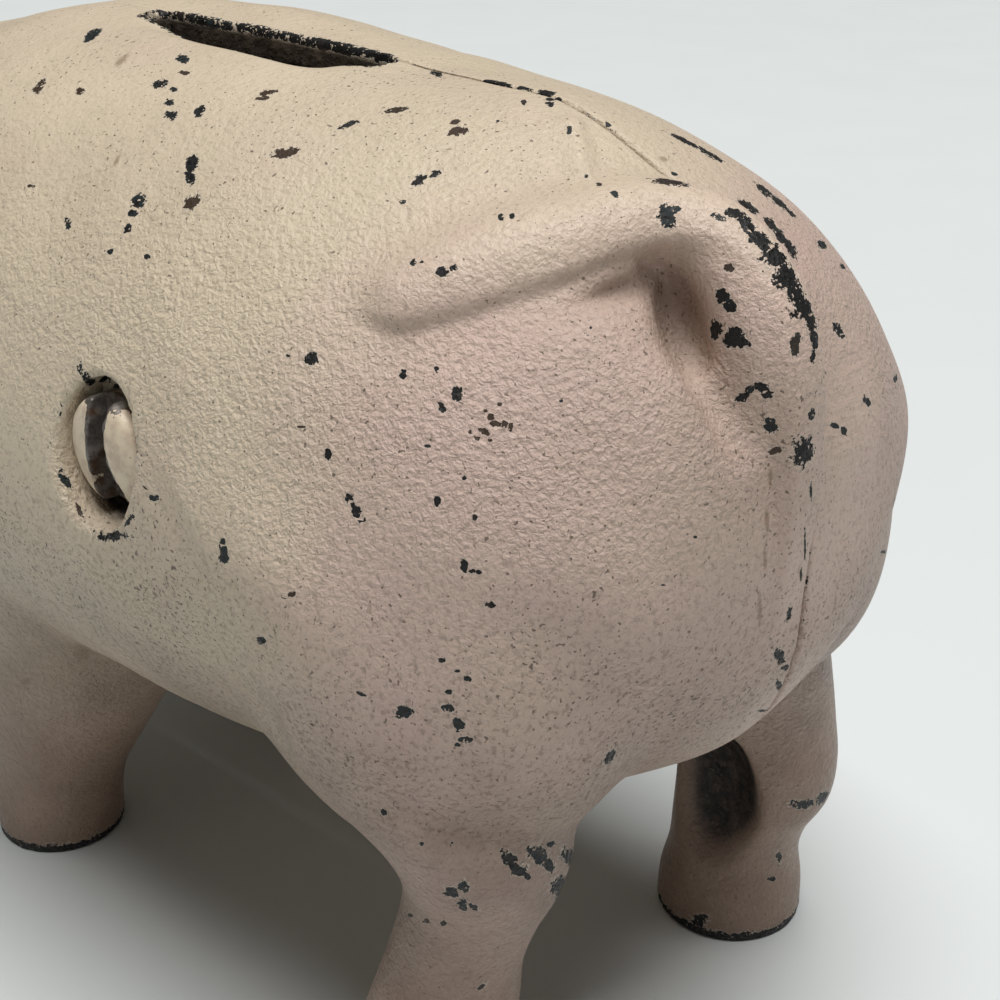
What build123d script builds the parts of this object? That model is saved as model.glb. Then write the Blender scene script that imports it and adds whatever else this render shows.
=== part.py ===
from build123d import *
import os

# A hollow cast-iron pig bank: two half castings, a through screw and a square nut.
# +X runs to the tail, +Y to the pig's right side, +Z up. The origin is on the ground,
# on the parting plane, midway between the snout and the rump.

# Body shell. Places along the pig are measured from the middle of its body,
# backward to the tail; the shares that follow are of the nearest length.
rump_reach = 68.9
snout_reach = 71.1
chest_reach = 60.0
body_half_width = 36.0
body_axis_height = 56.2
body_rise = 36.7
body_drop = 30.4
wall = 3.5
parting_gap = 0.3
cut_overrun = 12.0
rump_power_share = 3.33
rump_lower_power_share = 2.6
chest_power_share = 2.8
end_share = 0.996
rump_station_shares = [0.36, 0.62, 0.78, 0.88, 0.945, 0.98, 1.0]
chest_station_shares = [1.0, 0.95, 0.84, 0.66, 0.4]

# Haunches and shoulders, one bulge on each side
haunch_from_rump = 25.2
haunch_side = 18.3
haunch_height = 50.0
haunch_radius = 20.1
haunch_bulge = 14.2
shoulder_front = 18.0
shoulder_side = 16.0
shoulder_height = 49.0
shoulder_radius = 21.0
shoulder_bulge = 16.0

# Head, snout, ears and eyes
head_front = 42.0
head_height = 59.0
head_reach = 27.3
head_radius = 27.5
jowl_front = 49.0
jowl_side = 14.0
jowl_height = 50.0
jowl_radius = 12.5
jowl_bulge = 9.5
snout_height = 51.0
snout_length = 22.0
snout_root_radius = 14.0
snout_tip_radius = 10.5
snout_rim_radius = 11.8
snout_rim_width = 3.0
nostril_radius = 1.8
nostril_depth = 2.0
nostril_side = 4.2
ear_front = 44.0
ear_side = 18.0
ear_height = 79.5
ear_length = 26.0
ear_width = 16.8
ear_thickness = 4.6
ear_forward_share = 0.62
ear_outward_share = 0.36
ear_downward_share = 0.42
eye_front = 57.0
eye_side = 17.6
eye_height = 67.0
eye_radius = 2.6

# Legs and feet
leg_height = 42.0
rear_foot_radius = 8.0
front_foot_radius = 7.4
right_rear_foot_from_rump = 21.7
left_rear_foot_from_rump = 23.9
rear_foot_side = 22.9
front_foot_front = 20.0
front_foot_side = 19.3
scoop_back = 3.4
scoop_radius = 5.2
scoop_half_height = 10.5
scoop_height = 18.5
scoop_depth = 4.5

# Rows at even steps up a leg: how far back, how far out and how wide it is there, as
# shares of its foot radius.
right_rear_leg_shares = [
    (0.0, 0.0, 0.975),
    (0.0, 0.0, 0.96),
    (0.03, 0.0, 0.875),
    (0.12, 0.0, 0.91),
    (0.28, 0.0, 1.02),
    (0.31, 0.0, 1.05),
    (0.26, -0.02, 1.04),
    (0.15, -0.09, 1.1),
    (0.06, -0.2, 1.16),
    (-0.06, -0.31, 1.22),
    (-0.15, -0.4, 1.28),
]
left_rear_leg_shares = [
    (0.0, 0.0, 0.975),
    (0.02, 0.0, 0.96),
    (0.13, 0.0, 0.9),
    (0.32, 0.0, 0.87),
    (0.47, -0.03, 0.83),
    (0.54, -0.14, 0.765),
    (0.68, -0.23, 0.785),
    (0.83, -0.28, 0.87),
    (0.86, -0.22, 0.99),
    (0.69, -0.21, 1.14),
    (0.4, -0.26, 1.26),
]
front_leg_shares = [
    (0.0, 0.0, 0.98),
    (0.04, -0.01, 0.975),
    (0.15, -0.05, 1.0),
    (0.33, -0.11, 1.12),
    (0.48, -0.17, 1.3),
    (0.62, -0.22, 1.48),
    (0.74, -0.27, 1.62),
    (0.84, -0.32, 1.74),
    (0.92, -0.38, 1.86),
    (0.98, -0.44, 1.98),
    (1.0, -0.5, 2.1),
]

# Tail, cast on the left half alone: it climbs the rump beside the parting plane,
# curls over the top and runs out along the left hip. Its points are shares of the
# reach of the rump, of how far it runs to the left and of the height of its crest.
tail_radius = 4.4
tail_side = 21.6
tail_crest_height = 83.4
tail_path_shares = [
    (0.93, -0.111, 0.779),
    (0.935, -0.088, 0.863),
    (0.932, -0.074, 0.917),
    (0.916, -0.069, 0.961),
    (0.884, -0.092, 0.991),
    (0.847, -0.155, 1.001),
    (0.81, -0.271, 0.997),
    (0.776, -0.444, 0.99),
    (0.719, -0.697, 0.967),
    (0.66, -0.87, 0.932),
]

# Coin slot, on the seam along the back
slot_length = 34.0
slot_width = 4.6
slot_back = 5.1
slot_left_shift = 1.3
slot_dish_depth = 1.6
slot_dish_width = 2.4

# Through screw and the seats that it crosses
screw_back = 20.4
screw_height = 64.6
screw_radius = 3.175
screw_head_seat_inset = 5.4
screw_head_radius = 6.1
screw_head_rim = 1.4
screw_head_dome = 2.0
driver_slot_width = 1.8
driver_slot_depth = 1.9
recess_clearance = 0.7
seat_gap = 0.1
boss_wall = 4.4
screw_bore_clearance = 0.6

# Square nut in the right flank
nut_width = 11.1
nut_thickness = 5.6
nut_seat_inset = 9.1
nut_side_clearance = 0.3
nut_boss_wall = 4.0
thread_clearance = 0.05
thread_past_nut = 0.75

# Locating pegs on the left half, in lugs at both ends of the rim
peg_radius = 2.0
peg_length = 3.6
peg_clearance = 0.4
lug_wall = 2.4
lug_depth = 8.0
front_peg_from_head = 13.0
front_peg_drop = 15.0
rear_peg_from_rump = 7.9
rear_peg_drop = 4.2

os.makedirs("parts", exist_ok=True)

body_x = (snout_reach - rump_reach) / 2
body_top = body_axis_height + body_rise
haunch_back = rump_reach - haunch_from_rump
right_rear_foot_back = rump_reach - right_rear_foot_from_rump
left_rear_foot_back = rump_reach - left_rear_foot_from_rump
screw_head_seat = body_half_width - screw_head_seat_inset
nut_seat = body_half_width - nut_seat_inset
half_gap = parting_gap / 2
screw_x = body_x + screw_back
screw_line = (screw_x, screw_height)
recess_radius = screw_head_radius + recess_clearance
screw_bore_radius = screw_radius + screw_bore_clearance
pocket_width = nut_width + 2 * nut_side_clearance
lug_places = [
    (body_x - head_front - front_peg_from_head, head_height - front_peg_drop),
    (body_x + rump_reach - rear_peg_from_rump, body_axis_height - rear_peg_drop),
]

# How far each station of the body lies from its middle, with the sizes of its section
# there as shares of the largest: (place, width, rise, drop).
body_stations = []
for share in chest_station_shares:
    size_share = (1 - (share * end_share) ** chest_power_share) ** (1 / chest_power_share)
    body_stations.append((-chest_reach, share, size_share, size_share, size_share))
body_stations.append((0, 0, 1, 1, 1))
for share in rump_station_shares:
    rise_share = (1 - (share * end_share) ** rump_power_share) ** (1 / rump_power_share)
    drop_share = (1 - (share * end_share) ** rump_lower_power_share) ** (1 / rump_lower_power_share)
    body_stations.append((rump_reach, share, (rise_share + drop_share) / 2, rise_share, drop_share))


# Outer form of the whole pig, before it is parted
with BuildPart() as pig_form:
    for reach, share, width_share, rise_share, drop_share in body_stations:
        with BuildSketch(Plane.YZ.offset(body_x + reach * share)):
            with BuildLine():
                EllipticalCenterArc(
                    (0, body_axis_height),
                    body_half_width * width_share,
                    body_rise * rise_share,
                    start_angle=0,
                    arc_size=180,
                )
                EllipticalCenterArc(
                    (0, body_axis_height),
                    body_half_width * width_share,
                    body_drop * drop_share,
                    start_angle=180,
                    arc_size=180,
                )
            make_face()
    loft()

    # Haunches, shoulders and jowls: flattened balls turned about a line across the pig
    for side in (-1, 1):
        for back, out, height, radius, bulge in (
            (haunch_back, haunch_side, haunch_height, haunch_radius, haunch_bulge),
            (-shoulder_front, shoulder_side, shoulder_height, shoulder_radius, shoulder_bulge),
            (-jowl_front, jowl_side, jowl_height, jowl_radius, jowl_bulge),
        ):
            with BuildSketch(Plane.XY.offset(height)):
                with BuildLine():
                    EllipticalCenterArc(
                        (body_x + back, side * out), radius, bulge, start_angle=side * 90, arc_size=180
                    )
                    Line((body_x + back, side * out + bulge), (body_x + back, side * out - bulge))
                make_face()
            revolve(axis=Axis((body_x + back, 0, height), (0, 1, 0)))

    # Head, turned about its own axis along the pig
    with BuildSketch(Plane.XZ):
        with BuildLine():
            EllipticalCenterArc(
                (body_x - head_front, head_height), head_reach, head_radius, start_angle=0, arc_size=180
            )
            Line(
                (body_x - head_front - head_reach, head_height),
                (body_x - head_front + head_reach, head_height),
            )
        make_face()
    revolve(axis=Axis((body_x, 0, head_height), (1, 0, 0)))

    # Snout with its rim, and the two nostrils
    with BuildSketch(Plane.YZ.offset(body_x - snout_reach + snout_length)):
        with Locations((0, snout_height)):
            Circle(snout_root_radius)
    with BuildSketch(Plane.YZ.offset(body_x - snout_reach + snout_rim_width)):
        with Locations((0, snout_height)):
            Circle(snout_tip_radius)
    loft()
    with BuildSketch(Plane.YZ.offset(body_x - snout_reach)):
        with Locations((0, snout_height)):
            Circle(snout_rim_radius)
    extrude(amount=snout_rim_width)
    with BuildSketch(Plane.YZ.offset(body_x - snout_reach)):
        with Locations((-nostril_side, snout_height), (nostril_side, snout_height)):
            Circle(nostril_radius)
    extrude(amount=nostril_depth, mode=Mode.SUBTRACT)

    # Ears: leaf-shaped flaps that hang forward and outward; and the eyes
    for side in (-1, 1):
        ear_plane = Plane(
            origin=(body_x - ear_front, side * ear_side, ear_height),
            x_dir=(-ear_forward_share, side * ear_outward_share, -ear_downward_share),
            z_dir=(-ear_downward_share, side * ear_outward_share, ear_forward_share),
        )
        with BuildSketch(ear_plane):
            with BuildLine():
                ThreePointArc((-ear_length / 2, 0), (0, ear_width / 2), (ear_length / 2, 0))
                ThreePointArc((ear_length / 2, 0), (0, -ear_width / 2), (-ear_length / 2, 0))
            make_face()
        extrude(amount=ear_thickness / 2, both=True)
        with Locations((body_x - eye_front, side * eye_side, eye_height)):
            Sphere(eye_radius)

    # Legs, each lofted through round sections from the sole up into the body
    for foot_x, foot_side, foot_radius, leg_shares in (
        (body_x + right_rear_foot_back, rear_foot_side, rear_foot_radius, right_rear_leg_shares),
        (body_x + left_rear_foot_back, -rear_foot_side, rear_foot_radius, left_rear_leg_shares),
        (body_x - front_foot_front, front_foot_side, front_foot_radius, front_leg_shares),
        (body_x - front_foot_front, -front_foot_side, front_foot_radius, front_leg_shares),
    ):
        side = 1 if foot_side > 0 else -1
        leg_step = leg_height / (len(leg_shares) - 1)
        for step, (back_share, out_share, radius_share) in enumerate(leg_shares):
            with BuildSketch(Plane.XY.offset(leg_step * step)):
                with Locations((
                    foot_x + foot_radius * back_share,
                    foot_side + side * foot_radius * out_share,
                )):
                    Circle(foot_radius * radius_share)
        loft()


# Hollow inside the body and the head, one wall in from the outer form
with BuildPart() as hollow:
    for reach, share, width_share, rise_share, drop_share in body_stations:
        inner_reach = reach - wall if reach > 0 else reach + wall
        with BuildSketch(Plane.YZ.offset(body_x + inner_reach * share)):
            with BuildLine():
                EllipticalCenterArc(
                    (0, body_axis_height),
                    (body_half_width - wall) * width_share,
                    (body_rise - wall) * rise_share,
                    start_angle=0,
                    arc_size=180,
                )
                EllipticalCenterArc(
                    (0, body_axis_height),
                    (body_half_width - wall) * width_share,
                    (body_drop - wall) * drop_share,
                    start_angle=180,
                    arc_size=180,
                )
            make_face()
    loft()
    with BuildSketch(Plane.XZ):
        with BuildLine():
            EllipticalCenterArc(
                (body_x - head_front, head_height),
                head_reach - wall,
                head_radius - wall,
                start_angle=0,
                arc_size=180,
            )
            Line(
                (body_x - head_front - head_reach + wall, head_height),
                (body_x - head_front + head_reach - wall, head_height),
            )
        make_face()
    revolve(axis=Axis((body_x, 0, head_height), (1, 0, 0)))


# Scoop that lightens the inner face of a leg
with BuildPart() as leg_scoop:
    with BuildSketch(Plane.XZ):
        with BuildLine():
            EllipticalCenterArc(
                (0, scoop_height), scoop_radius, scoop_half_height, start_angle=-90, arc_size=180
            )
            Line((0, scoop_height + scoop_half_height), (0, scoop_height - scoop_half_height))
        make_face()
    revolve(axis=Axis.Z)


# Bosses round the screw and the nut, and lugs for the pegs, trimmed to the outer form
with BuildPart() as bosses:
    with BuildSketch(Plane.XZ.offset(-body_half_width)):
        with Locations(screw_line):
            Circle(recess_radius + boss_wall / 2)
    extrude(amount=2 * body_half_width)
    with BuildSketch(Plane.XZ.offset(-body_half_width)):
        with Locations(screw_line):
            Circle(pocket_width / 2 + nut_boss_wall)
    extrude(amount=body_half_width - nut_seat + nut_boss_wall)
    with BuildSketch(Plane.XZ.offset(-lug_depth)):
        with Locations(*lug_places):
            Circle(peg_radius + peg_clearance + lug_wall)
    extrude(amount=2 * lug_depth)
    add(pig_form.part, mode=Mode.INTERSECT)


# Left half casting, with the tail, the screw head's recess and the pegs
with BuildPart() as left_half:
    add(pig_form.part)
    add(hollow.part, mode=Mode.SUBTRACT)
    add(bosses.part)
    with BuildLine():
        tail_line = Spline(*[
            (body_x + rump_reach * back, tail_side * out, tail_crest_height * up)
            for back, out, up in tail_path_shares
        ])
    with BuildSketch(Plane(origin=tail_line @ 0, z_dir=tail_line % 0)):
        Circle(tail_radius)
    sweep(path=tail_line)
    with Locations(tail_line @ 1):
        Sphere(tail_radius)
    add(hollow.part, mode=Mode.SUBTRACT)
    add(bosses.part)
    for foot_x, foot_side, foot_radius in (
        (body_x + left_rear_foot_back, rear_foot_side, rear_foot_radius),
        (body_x - front_foot_front, front_foot_side, front_foot_radius),
    ):
        scoop_y = -foot_side + foot_radius + scoop_radius - scoop_depth
        add(leg_scoop.part.moved(Location((foot_x + scoop_back, scoop_y, 0))), mode=Mode.SUBTRACT)
    with BuildSketch(Plane.XZ.offset(screw_head_seat)):
        with Locations(screw_line):
            Circle(recess_radius)
    extrude(amount=cut_overrun, mode=Mode.SUBTRACT)
    with BuildSketch(Plane.XZ):
        with Locations(screw_line):
            Circle(screw_bore_radius)
    extrude(amount=body_half_width, mode=Mode.SUBTRACT)
    with BuildSketch(Plane.XY.offset(body_top - cut_overrun)):
        with Locations((body_x + slot_back, -slot_left_shift)):
            SlotOverall(slot_length, slot_width)
    extrude(amount=2 * cut_overrun, mode=Mode.SUBTRACT)
    with BuildSketch(Plane.YZ.offset(body_x + slot_back - slot_length / 2 + slot_width)):
        with BuildLine():
            Polyline(
                (-slot_left_shift, body_top - slot_dish_depth),
                (-slot_left_shift - slot_width / 2, body_top - slot_dish_depth),
                (-slot_left_shift - slot_width / 2 - slot_dish_width, body_top),
                (-slot_left_shift, body_top),
                close=True,
            )
        make_face()
    extrude(amount=slot_length - 2 * slot_width, mode=Mode.SUBTRACT)
    split(bisect_by=Plane.XZ.offset(half_gap), keep=Keep.TOP)
    with BuildSketch(Plane.XZ.offset(lug_depth / 2)):
        with Locations(*lug_places):
            Circle(peg_radius)
    extrude(amount=-(lug_depth / 2 + peg_length))


# Right half casting, with the nut's pocket and the sockets for the pegs
with BuildPart() as right_half:
    add(pig_form.part)
    add(hollow.part, mode=Mode.SUBTRACT)
    add(bosses.part)
    for foot_x, foot_side, foot_radius in (
        (body_x + right_rear_foot_back, rear_foot_side, rear_foot_radius),
        (body_x - front_foot_front, front_foot_side, front_foot_radius),
    ):
        scoop_y = foot_side - foot_radius - scoop_radius + scoop_depth
        add(leg_scoop.part.moved(Location((foot_x + scoop_back, scoop_y, 0))), mode=Mode.SUBTRACT)
    with BuildSketch(Plane.XZ.offset(-nut_seat)):
        with Locations(screw_line):
            Rectangle(pocket_width, pocket_width)
    extrude(amount=-cut_overrun, mode=Mode.SUBTRACT)
    with BuildSketch(Plane.XZ):
        with Locations(screw_line):
            Circle(screw_bore_radius)
    extrude(amount=-body_half_width, mode=Mode.SUBTRACT)
    with BuildSketch(Plane.XY.offset(body_top - cut_overrun)):
        with Locations((body_x + slot_back, -slot_left_shift)):
            SlotOverall(slot_length, slot_width)
    extrude(amount=2 * cut_overrun, mode=Mode.SUBTRACT)
    with BuildSketch(Plane.XZ):
        with Locations(*lug_places):
            Circle(peg_radius + peg_clearance)
    extrude(amount=-(peg_length + peg_clearance), mode=Mode.SUBTRACT)
    split(bisect_by=Plane.XZ.offset(-half_gap), keep=Keep.BOTTOM)


# Through screw: a slotted round head on the left, the shank across to the nut
with BuildPart() as through_screw:
    with BuildSketch(Plane.XZ.offset(screw_head_seat + seat_gap)):
        with Locations(screw_line):
            Circle(screw_head_radius)
    extrude(amount=screw_head_rim)
    with BuildSketch(Plane.XY.offset(screw_height)):
        with BuildLine():
            EllipticalCenterArc(
                (screw_x, -screw_head_seat - seat_gap - screw_head_rim),
                screw_head_radius,
                screw_head_dome,
                start_angle=270,
                arc_size=90,
            )
            Polyline(
                (screw_x + screw_head_radius, -screw_head_seat - seat_gap - screw_head_rim),
                (screw_x, -screw_head_seat - seat_gap - screw_head_rim),
                (screw_x, -screw_head_seat - seat_gap - screw_head_rim - screw_head_dome),
            )
        make_face()
    revolve(axis=Axis((screw_x, 0, screw_height), (0, 1, 0)))
    with BuildSketch(Plane.XZ.offset(screw_head_seat + seat_gap)):
        with Locations(screw_line):
            Circle(screw_radius)
    extrude(amount=-(screw_head_seat + nut_seat + nut_thickness + 2 * seat_gap + thread_past_nut))
    with BuildSketch(Plane.XZ.offset(
        screw_head_seat + seat_gap + screw_head_rim + screw_head_dome - driver_slot_depth
    )):
        with Locations(screw_line):
            Rectangle(driver_slot_width, 2 * screw_head_radius)
    extrude(amount=screw_head_dome + screw_head_rim, mode=Mode.SUBTRACT)


# Square nut, captive in its pocket in the right flank
with BuildPart() as square_nut:
    with BuildSketch(Plane.XZ.offset(-nut_seat - seat_gap)):
        with Locations(screw_line):
            Rectangle(nut_width, nut_width)
            Circle(screw_radius + thread_clearance, mode=Mode.SUBTRACT)
    extrude(amount=-nut_thickness)


left_half.part.label = "left_half"
export_step(left_half.part, "parts/left_half.step")
right_half.part.label = "right_half"
export_step(right_half.part, "parts/right_half.step")
through_screw.part.label = "through_screw"
export_step(through_screw.part, "parts/through_screw.step")
square_nut.part.label = "square_nut"
export_step(square_nut.part, "parts/square_nut.step")
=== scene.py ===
"""Looks of the cast-iron pig bank, dressed over its fixed frame.

The two half castings are one implicit form, worked out in millimetres with numpy and parted at
the middle plane, so that the barrel, haunches, legs, tail, coin slot and screw seats flow into
each other as they do in a sand casting. The screw and the nut are worked out the same way.
"""

import math
from types import SimpleNamespace

import bpy
import numpy as np
from bpy.props import FloatProperty, FloatVectorProperty, IntProperty, PointerProperty
from mathutils import Matrix, Vector
from mathutils.bvhtree import BVHTree


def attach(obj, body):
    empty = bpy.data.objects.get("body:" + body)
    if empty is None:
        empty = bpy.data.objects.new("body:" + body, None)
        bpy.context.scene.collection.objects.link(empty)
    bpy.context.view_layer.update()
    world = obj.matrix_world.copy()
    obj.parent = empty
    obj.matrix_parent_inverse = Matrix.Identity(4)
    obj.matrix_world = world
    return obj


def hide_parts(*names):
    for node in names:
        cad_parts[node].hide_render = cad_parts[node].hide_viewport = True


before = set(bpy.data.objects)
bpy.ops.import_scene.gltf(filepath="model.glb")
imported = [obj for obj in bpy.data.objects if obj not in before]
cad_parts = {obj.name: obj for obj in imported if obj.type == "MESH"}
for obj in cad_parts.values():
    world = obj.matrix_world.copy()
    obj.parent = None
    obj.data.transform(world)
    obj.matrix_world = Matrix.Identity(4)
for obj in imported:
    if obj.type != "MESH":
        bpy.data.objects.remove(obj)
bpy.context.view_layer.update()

bl_info = {
    "name": "Cast iron pig bank",
    "version": (1, 0, 0),
    "blender": (4, 5, 0),
    "location": "3D View > Sidebar > Pig bank",
    "description": "Builds the painted half castings, the screw, the nut and the stage",
    "category": "Object",
}

MM = 1000.0
MOST_TRIANGLES = 200000

# Grid lines of the half castings, in millimetres: where they start and end, then places and how far
# apart the lines are there. The lines across the right half are the left half's, turned round.
GRID_ALONG = (-74, 74, (-35, -22, 50, 55, 71), (1.15, 0.8, 0.75, 0.5, 0.5))
GRID_ACROSS = (-42, 5.0, (-15, -11, -3, -1.6, 1.0, 5), (0.8, 0.5, 0.42, 0.28, 0.28, 0.8))
GRID_UP = (-1.2, 97, (0, 62, 70, 88, 92), (0.82, 0.82, 0.52, 0.55, 0.7))

# Rows at even steps up a leg: how far back, how far out and how wide it is there, as shares of
# its foot radius.
RIGHT_REAR_LEG_SHARES = (
    (0.0, 0.0, 0.975), (0.0, 0.0, 0.96), (0.03, 0.0, 0.875), (0.12, 0.0, 0.91),
    (0.28, 0.0, 1.02), (0.31, 0.0, 1.05), (0.26, -0.02, 1.04), (0.15, -0.09, 1.1),
    (0.06, -0.2, 1.16), (-0.06, -0.31, 1.22), (-0.15, -0.4, 1.28),
)
LEFT_REAR_LEG_SHARES = (
    (0.0, 0.0, 0.975), (0.02, 0.0, 0.96), (0.13, 0.0, 0.9), (0.32, 0.0, 0.87),
    (0.47, -0.03, 0.83), (0.54, -0.14, 0.765), (0.68, -0.23, 0.785), (0.83, -0.28, 0.87),
    (0.86, -0.22, 0.99), (0.69, -0.21, 1.14), (0.42, -0.24, 1.27),
)
FRONT_LEG_SHARES = (
    (0.0, 0.0, 0.98), (0.04, -0.01, 0.975), (0.15, -0.05, 1.0), (0.33, -0.11, 1.12),
    (0.48, -0.17, 1.3), (0.62, -0.22, 1.48), (0.74, -0.27, 1.62), (0.84, -0.32, 1.74),
    (0.92, -0.38, 1.86), (0.98, -0.44, 1.98), (1.0, -0.5, 2.1),
)

# The tail's line, in millimetres: back, to the right, up, and half its thickness there
TAIL_LINE = (
    (64.6, -3.0, 57.0, 3.0), (65.3, -2.4, 65.0, 4.3), (65.5, -1.9, 72.0, 4.5), (65.2, -1.6, 76.5, 4.4),
    (64.0, -1.4, 80.0, 4.2), (61.6, -1.6, 82.7, 3.8), (58.9, -2.5, 84.2, 3.35), (56.4, -4.9, 85.0, 2.95),
    (54.5, -8.7, 84.9, 2.85), (52.7, -12.7, 84.2, 2.75), (50.8, -15.7, 83.2, 2.5), (48.8, -18.6, 82.0, 2.2),
    (46.7, -21.1, 80.8, 1.7),
)
# Height of its ridge at the parting plane, and how that falls with the square of the way out
RIDGE_HEIGHT, RIDGE_FALL = 85.2, 0.0098
# The hollow beside it: its mouth, its floor and the middle of the dent round them
POCKET_LINE = (
    (58.9, -6.5, 83.3, 1.4), (60.7, -6.9, 81.6, 2.1), (62.0, -7.3, 79.9, 2.4), (63.4, -7.9, 78.1, 2.3),
    (64.9, -8.7, 76.2, 1.3),
)
POCKET_FLOOR_LINE = (
    (59.4, -5.0, 81.2, 1.5), (60.3, -5.4, 79.7, 2.1), (61.5, -6.1, 78.0, 2.1), (62.9, -7.0, 76.2, 1.3),
)
DENT = (62.4, -9.4, 80.0)
# The raised run of the casting from the slot's end to the tail: its start, its length and that squared
RUN_START, RUN_LENGTH, RUN_SQUARE = (46.2, -2.6, 90.9), (4.6, -3.8, -2.6), 42.4

# Round forms: how far behind the body's middle, to the side and up, then the half axes. The head's
# half axes come from its radius, and the ear lies along its own leaning axes.
BARREL_SCALE = 30.0
SHOULDER = (-18, 16, 49), (21, 16, 21)
HEAD = (-42, 0, 59)
JOWL = (-46, 14, 51), (13, 8.5, 12)
BROW = (-50, 9, 70), (11, 9, 8)
NOSTRIL = (-71, 4.2, 51.6), (2.6, 1.7, 2.4)
EYELIDS = (-58.8, 18.6, 68.0), (3.7, 3.3, 3.0)
EYE_SOCKET = (-60.8, 20.7, 68.6), (3.0, 2.8, 2.1)
EYEBALL = (-59.3, 19.1, 68.2), (2.4, 2.4, 2.2)
EAR_PLACE = (-45.2, 19.4, 81.2)
EAR_LIE, EAR_FACE = (-0.62, 0.36, -0.42), (-0.42, 0.36, 0.62)
LEAF_HALVES, CUP_PLACE, CUP_HALVES = (13.0, 8.4, 2.3), (-0.5, 0, 2.6), (10.5, 5.6, 2.4)
SNOUT_HEIGHT, SNOUT_END, SNOUT_RADIUS, MOUTH_HEIGHT = 51, 70, 14.2, 42.5
SNOUT_RIM_RADIUS, SNOUT_RIM_HALF, SNOUT_RIM_EDGE = 11.8, 1.7, 1.2

# The inside: bosses round the screw's bore, lugs with pegs or sockets, seats and openings
BOSS_RADIUS, NUT_BOSS_RADIUS, NUT_BOSS_DEPTH = 9.0, 9.85, 22.9
TAIL_BOSS = (62, -5, 78), (9, 7, 9)
LUGS = (-55, 44), (61, 52)
LUG_RADIUS, LUG_REACH = 4.8, 8
PEG_RADIUS, SOCKET_RADIUS, PEG_REACH = 2.0, 2.4, 4.0
RECESS_DEPTH, NUT_POCKET_DEPTH, NUT_POCKET_HALF = 5.4, 9.1, 5.85
SLOT_FLOOR, SEAT_GAP, PARTING_GAP, SCREW_END = 80, 0.1, 0.15, 33.35
LEG_SCOOP = (2.2, -0.4, 18.3), (5.8, 4.4, 9.3)

CAMERA_TARGET_MM = (28.70, 7.01, 48.31)

# Marks of worn paint, in millimetres: how far round one the faces are searched, its longest half and
# how far off the surface it reaches. Then the least slope of the line of sight to the surface, how
# many of its own halves away a mark still counts, and the value where none does.
MARK_SEARCH, MARK_LONGEST, MARK_THICK = 20, 6.0, 2.0
MARK_GRAZING, MARK_FAR, MARK_NONE = -0.12, 4.0, 9.0
# Band round the photograph's edge, in pixels inside and outside it, over which its marks give way
EDGE_INSIDE, EDGE_OUTSIDE = 10, 40


# ---------------------------------------------------------------- fields, in millimetres

def soft_min(a, b, k):
    """Lower of two fields, blended over a band k wide, as a fillet of about that radius."""
    h = np.clip(0.5 + 0.5 * (b - a) / k, 0, 1)
    return b * (1 - h) + a * h - k * h * (1 - h)


def soft_max(a, b, k):
    """Higher of two fields, blended over a band k wide, as a rounded edge."""
    return -soft_min(-a, -b, k)


def ramp(v, low, high):
    """Smooth step from 0 at low to 1 at high: three times the square less twice the cube."""
    t = np.clip((v - low) / (high - low), 0, 1)
    return t * t * (3 - 2 * t)


def hump(v, middle, width):
    """Bell curve, 1 at the middle and falling with the square of the distance over the width."""
    return np.exp(-((v - middle) / width) ** 2)


def even_rows(v, step, rows):
    """Cubic Hermite curve through rows that lie at even steps, with central-difference slopes."""
    rows = np.asarray(rows, float)
    slope = np.gradient(rows)
    t = np.clip(v / step, 0, len(rows) - 1.0001)
    i = t.astype(int)
    t = t - i
    return ((2 * t**3 - 3 * t**2 + 1) * rows[i] + (t**3 - 2 * t**2 + t) * slope[i]
            + (-2 * t**3 + 3 * t**2) * rows[i + 1] + (t**3 - t**2) * slope[i + 1])


def ball(x, y, z, centre, radii):
    """Ellipsoid: the scaled radius less one, times its own length over its slope."""
    dx, dy, dz = x - centre[0], y - centre[1], z - centre[2]
    q = np.sqrt((dx / radii[0]) ** 2 + (dy / radii[1]) ** 2 + (dz / radii[2]) ** 2)
    g = np.sqrt((dx / radii[0]**2) ** 2 + (dy / radii[1]**2) ** 2 + (dz / radii[2]**2) ** 2) + 1e-9
    return q * (q - 1) / g


def lump(x, y, z, s, form):
    """Round form whose place is given from the body's middle."""
    (back, side, up), radii = form
    return ball(x, y, z, (s.middle + back, side, up), radii)


def disc(radial, axial, radius, half_width, edge):
    """Flat round disc with rounded rims, from its radial and axial distances."""
    dr, da = radial - (radius - edge), np.abs(axial) - (half_width - edge)
    return np.hypot(np.maximum(dr, 0), np.maximum(da, 0)) + np.minimum(np.maximum(dr, da), 0) - edge


def tube(x, y, z, line, parts=6, margin=12):
    """Round tube along a smooth line: distance to the nearest run of the line less the radius,
    both mixed evenly along that run. Points far from the line keep a large value."""
    line = np.asarray(line, float)
    steps = np.arange((len(line) - 1) * parts + 1) / parts
    fine = np.stack([even_rows(steps, 1.0, line[:, k]) for k in range(4)], 1)
    low, high = fine[:, :3].min(0) - margin, fine[:, :3].max(0) + margin
    near = ((x > low[0]) & (x < high[0]) & (y > low[1]) & (y < high[1]) & (z > low[2]) & (z < high[2]))
    out = np.full(np.shape(x), float(margin))
    p = np.stack([x[near], y[near], z[near]], 1)
    best = np.full(len(p), float(margin))
    for a, b in zip(fine[:-1], fine[1:]):
        run = b[:3] - a[:3]
        t = np.clip((p - a[:3]) @ run / (run @ run), 0, 1)
        away = np.linalg.norm(p - a[:3] - t[:, None] * run, axis=1) - (a[3] + (b[3] - a[3]) * t)
        best = np.minimum(best, away)
    out[near] = best
    return out


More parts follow.
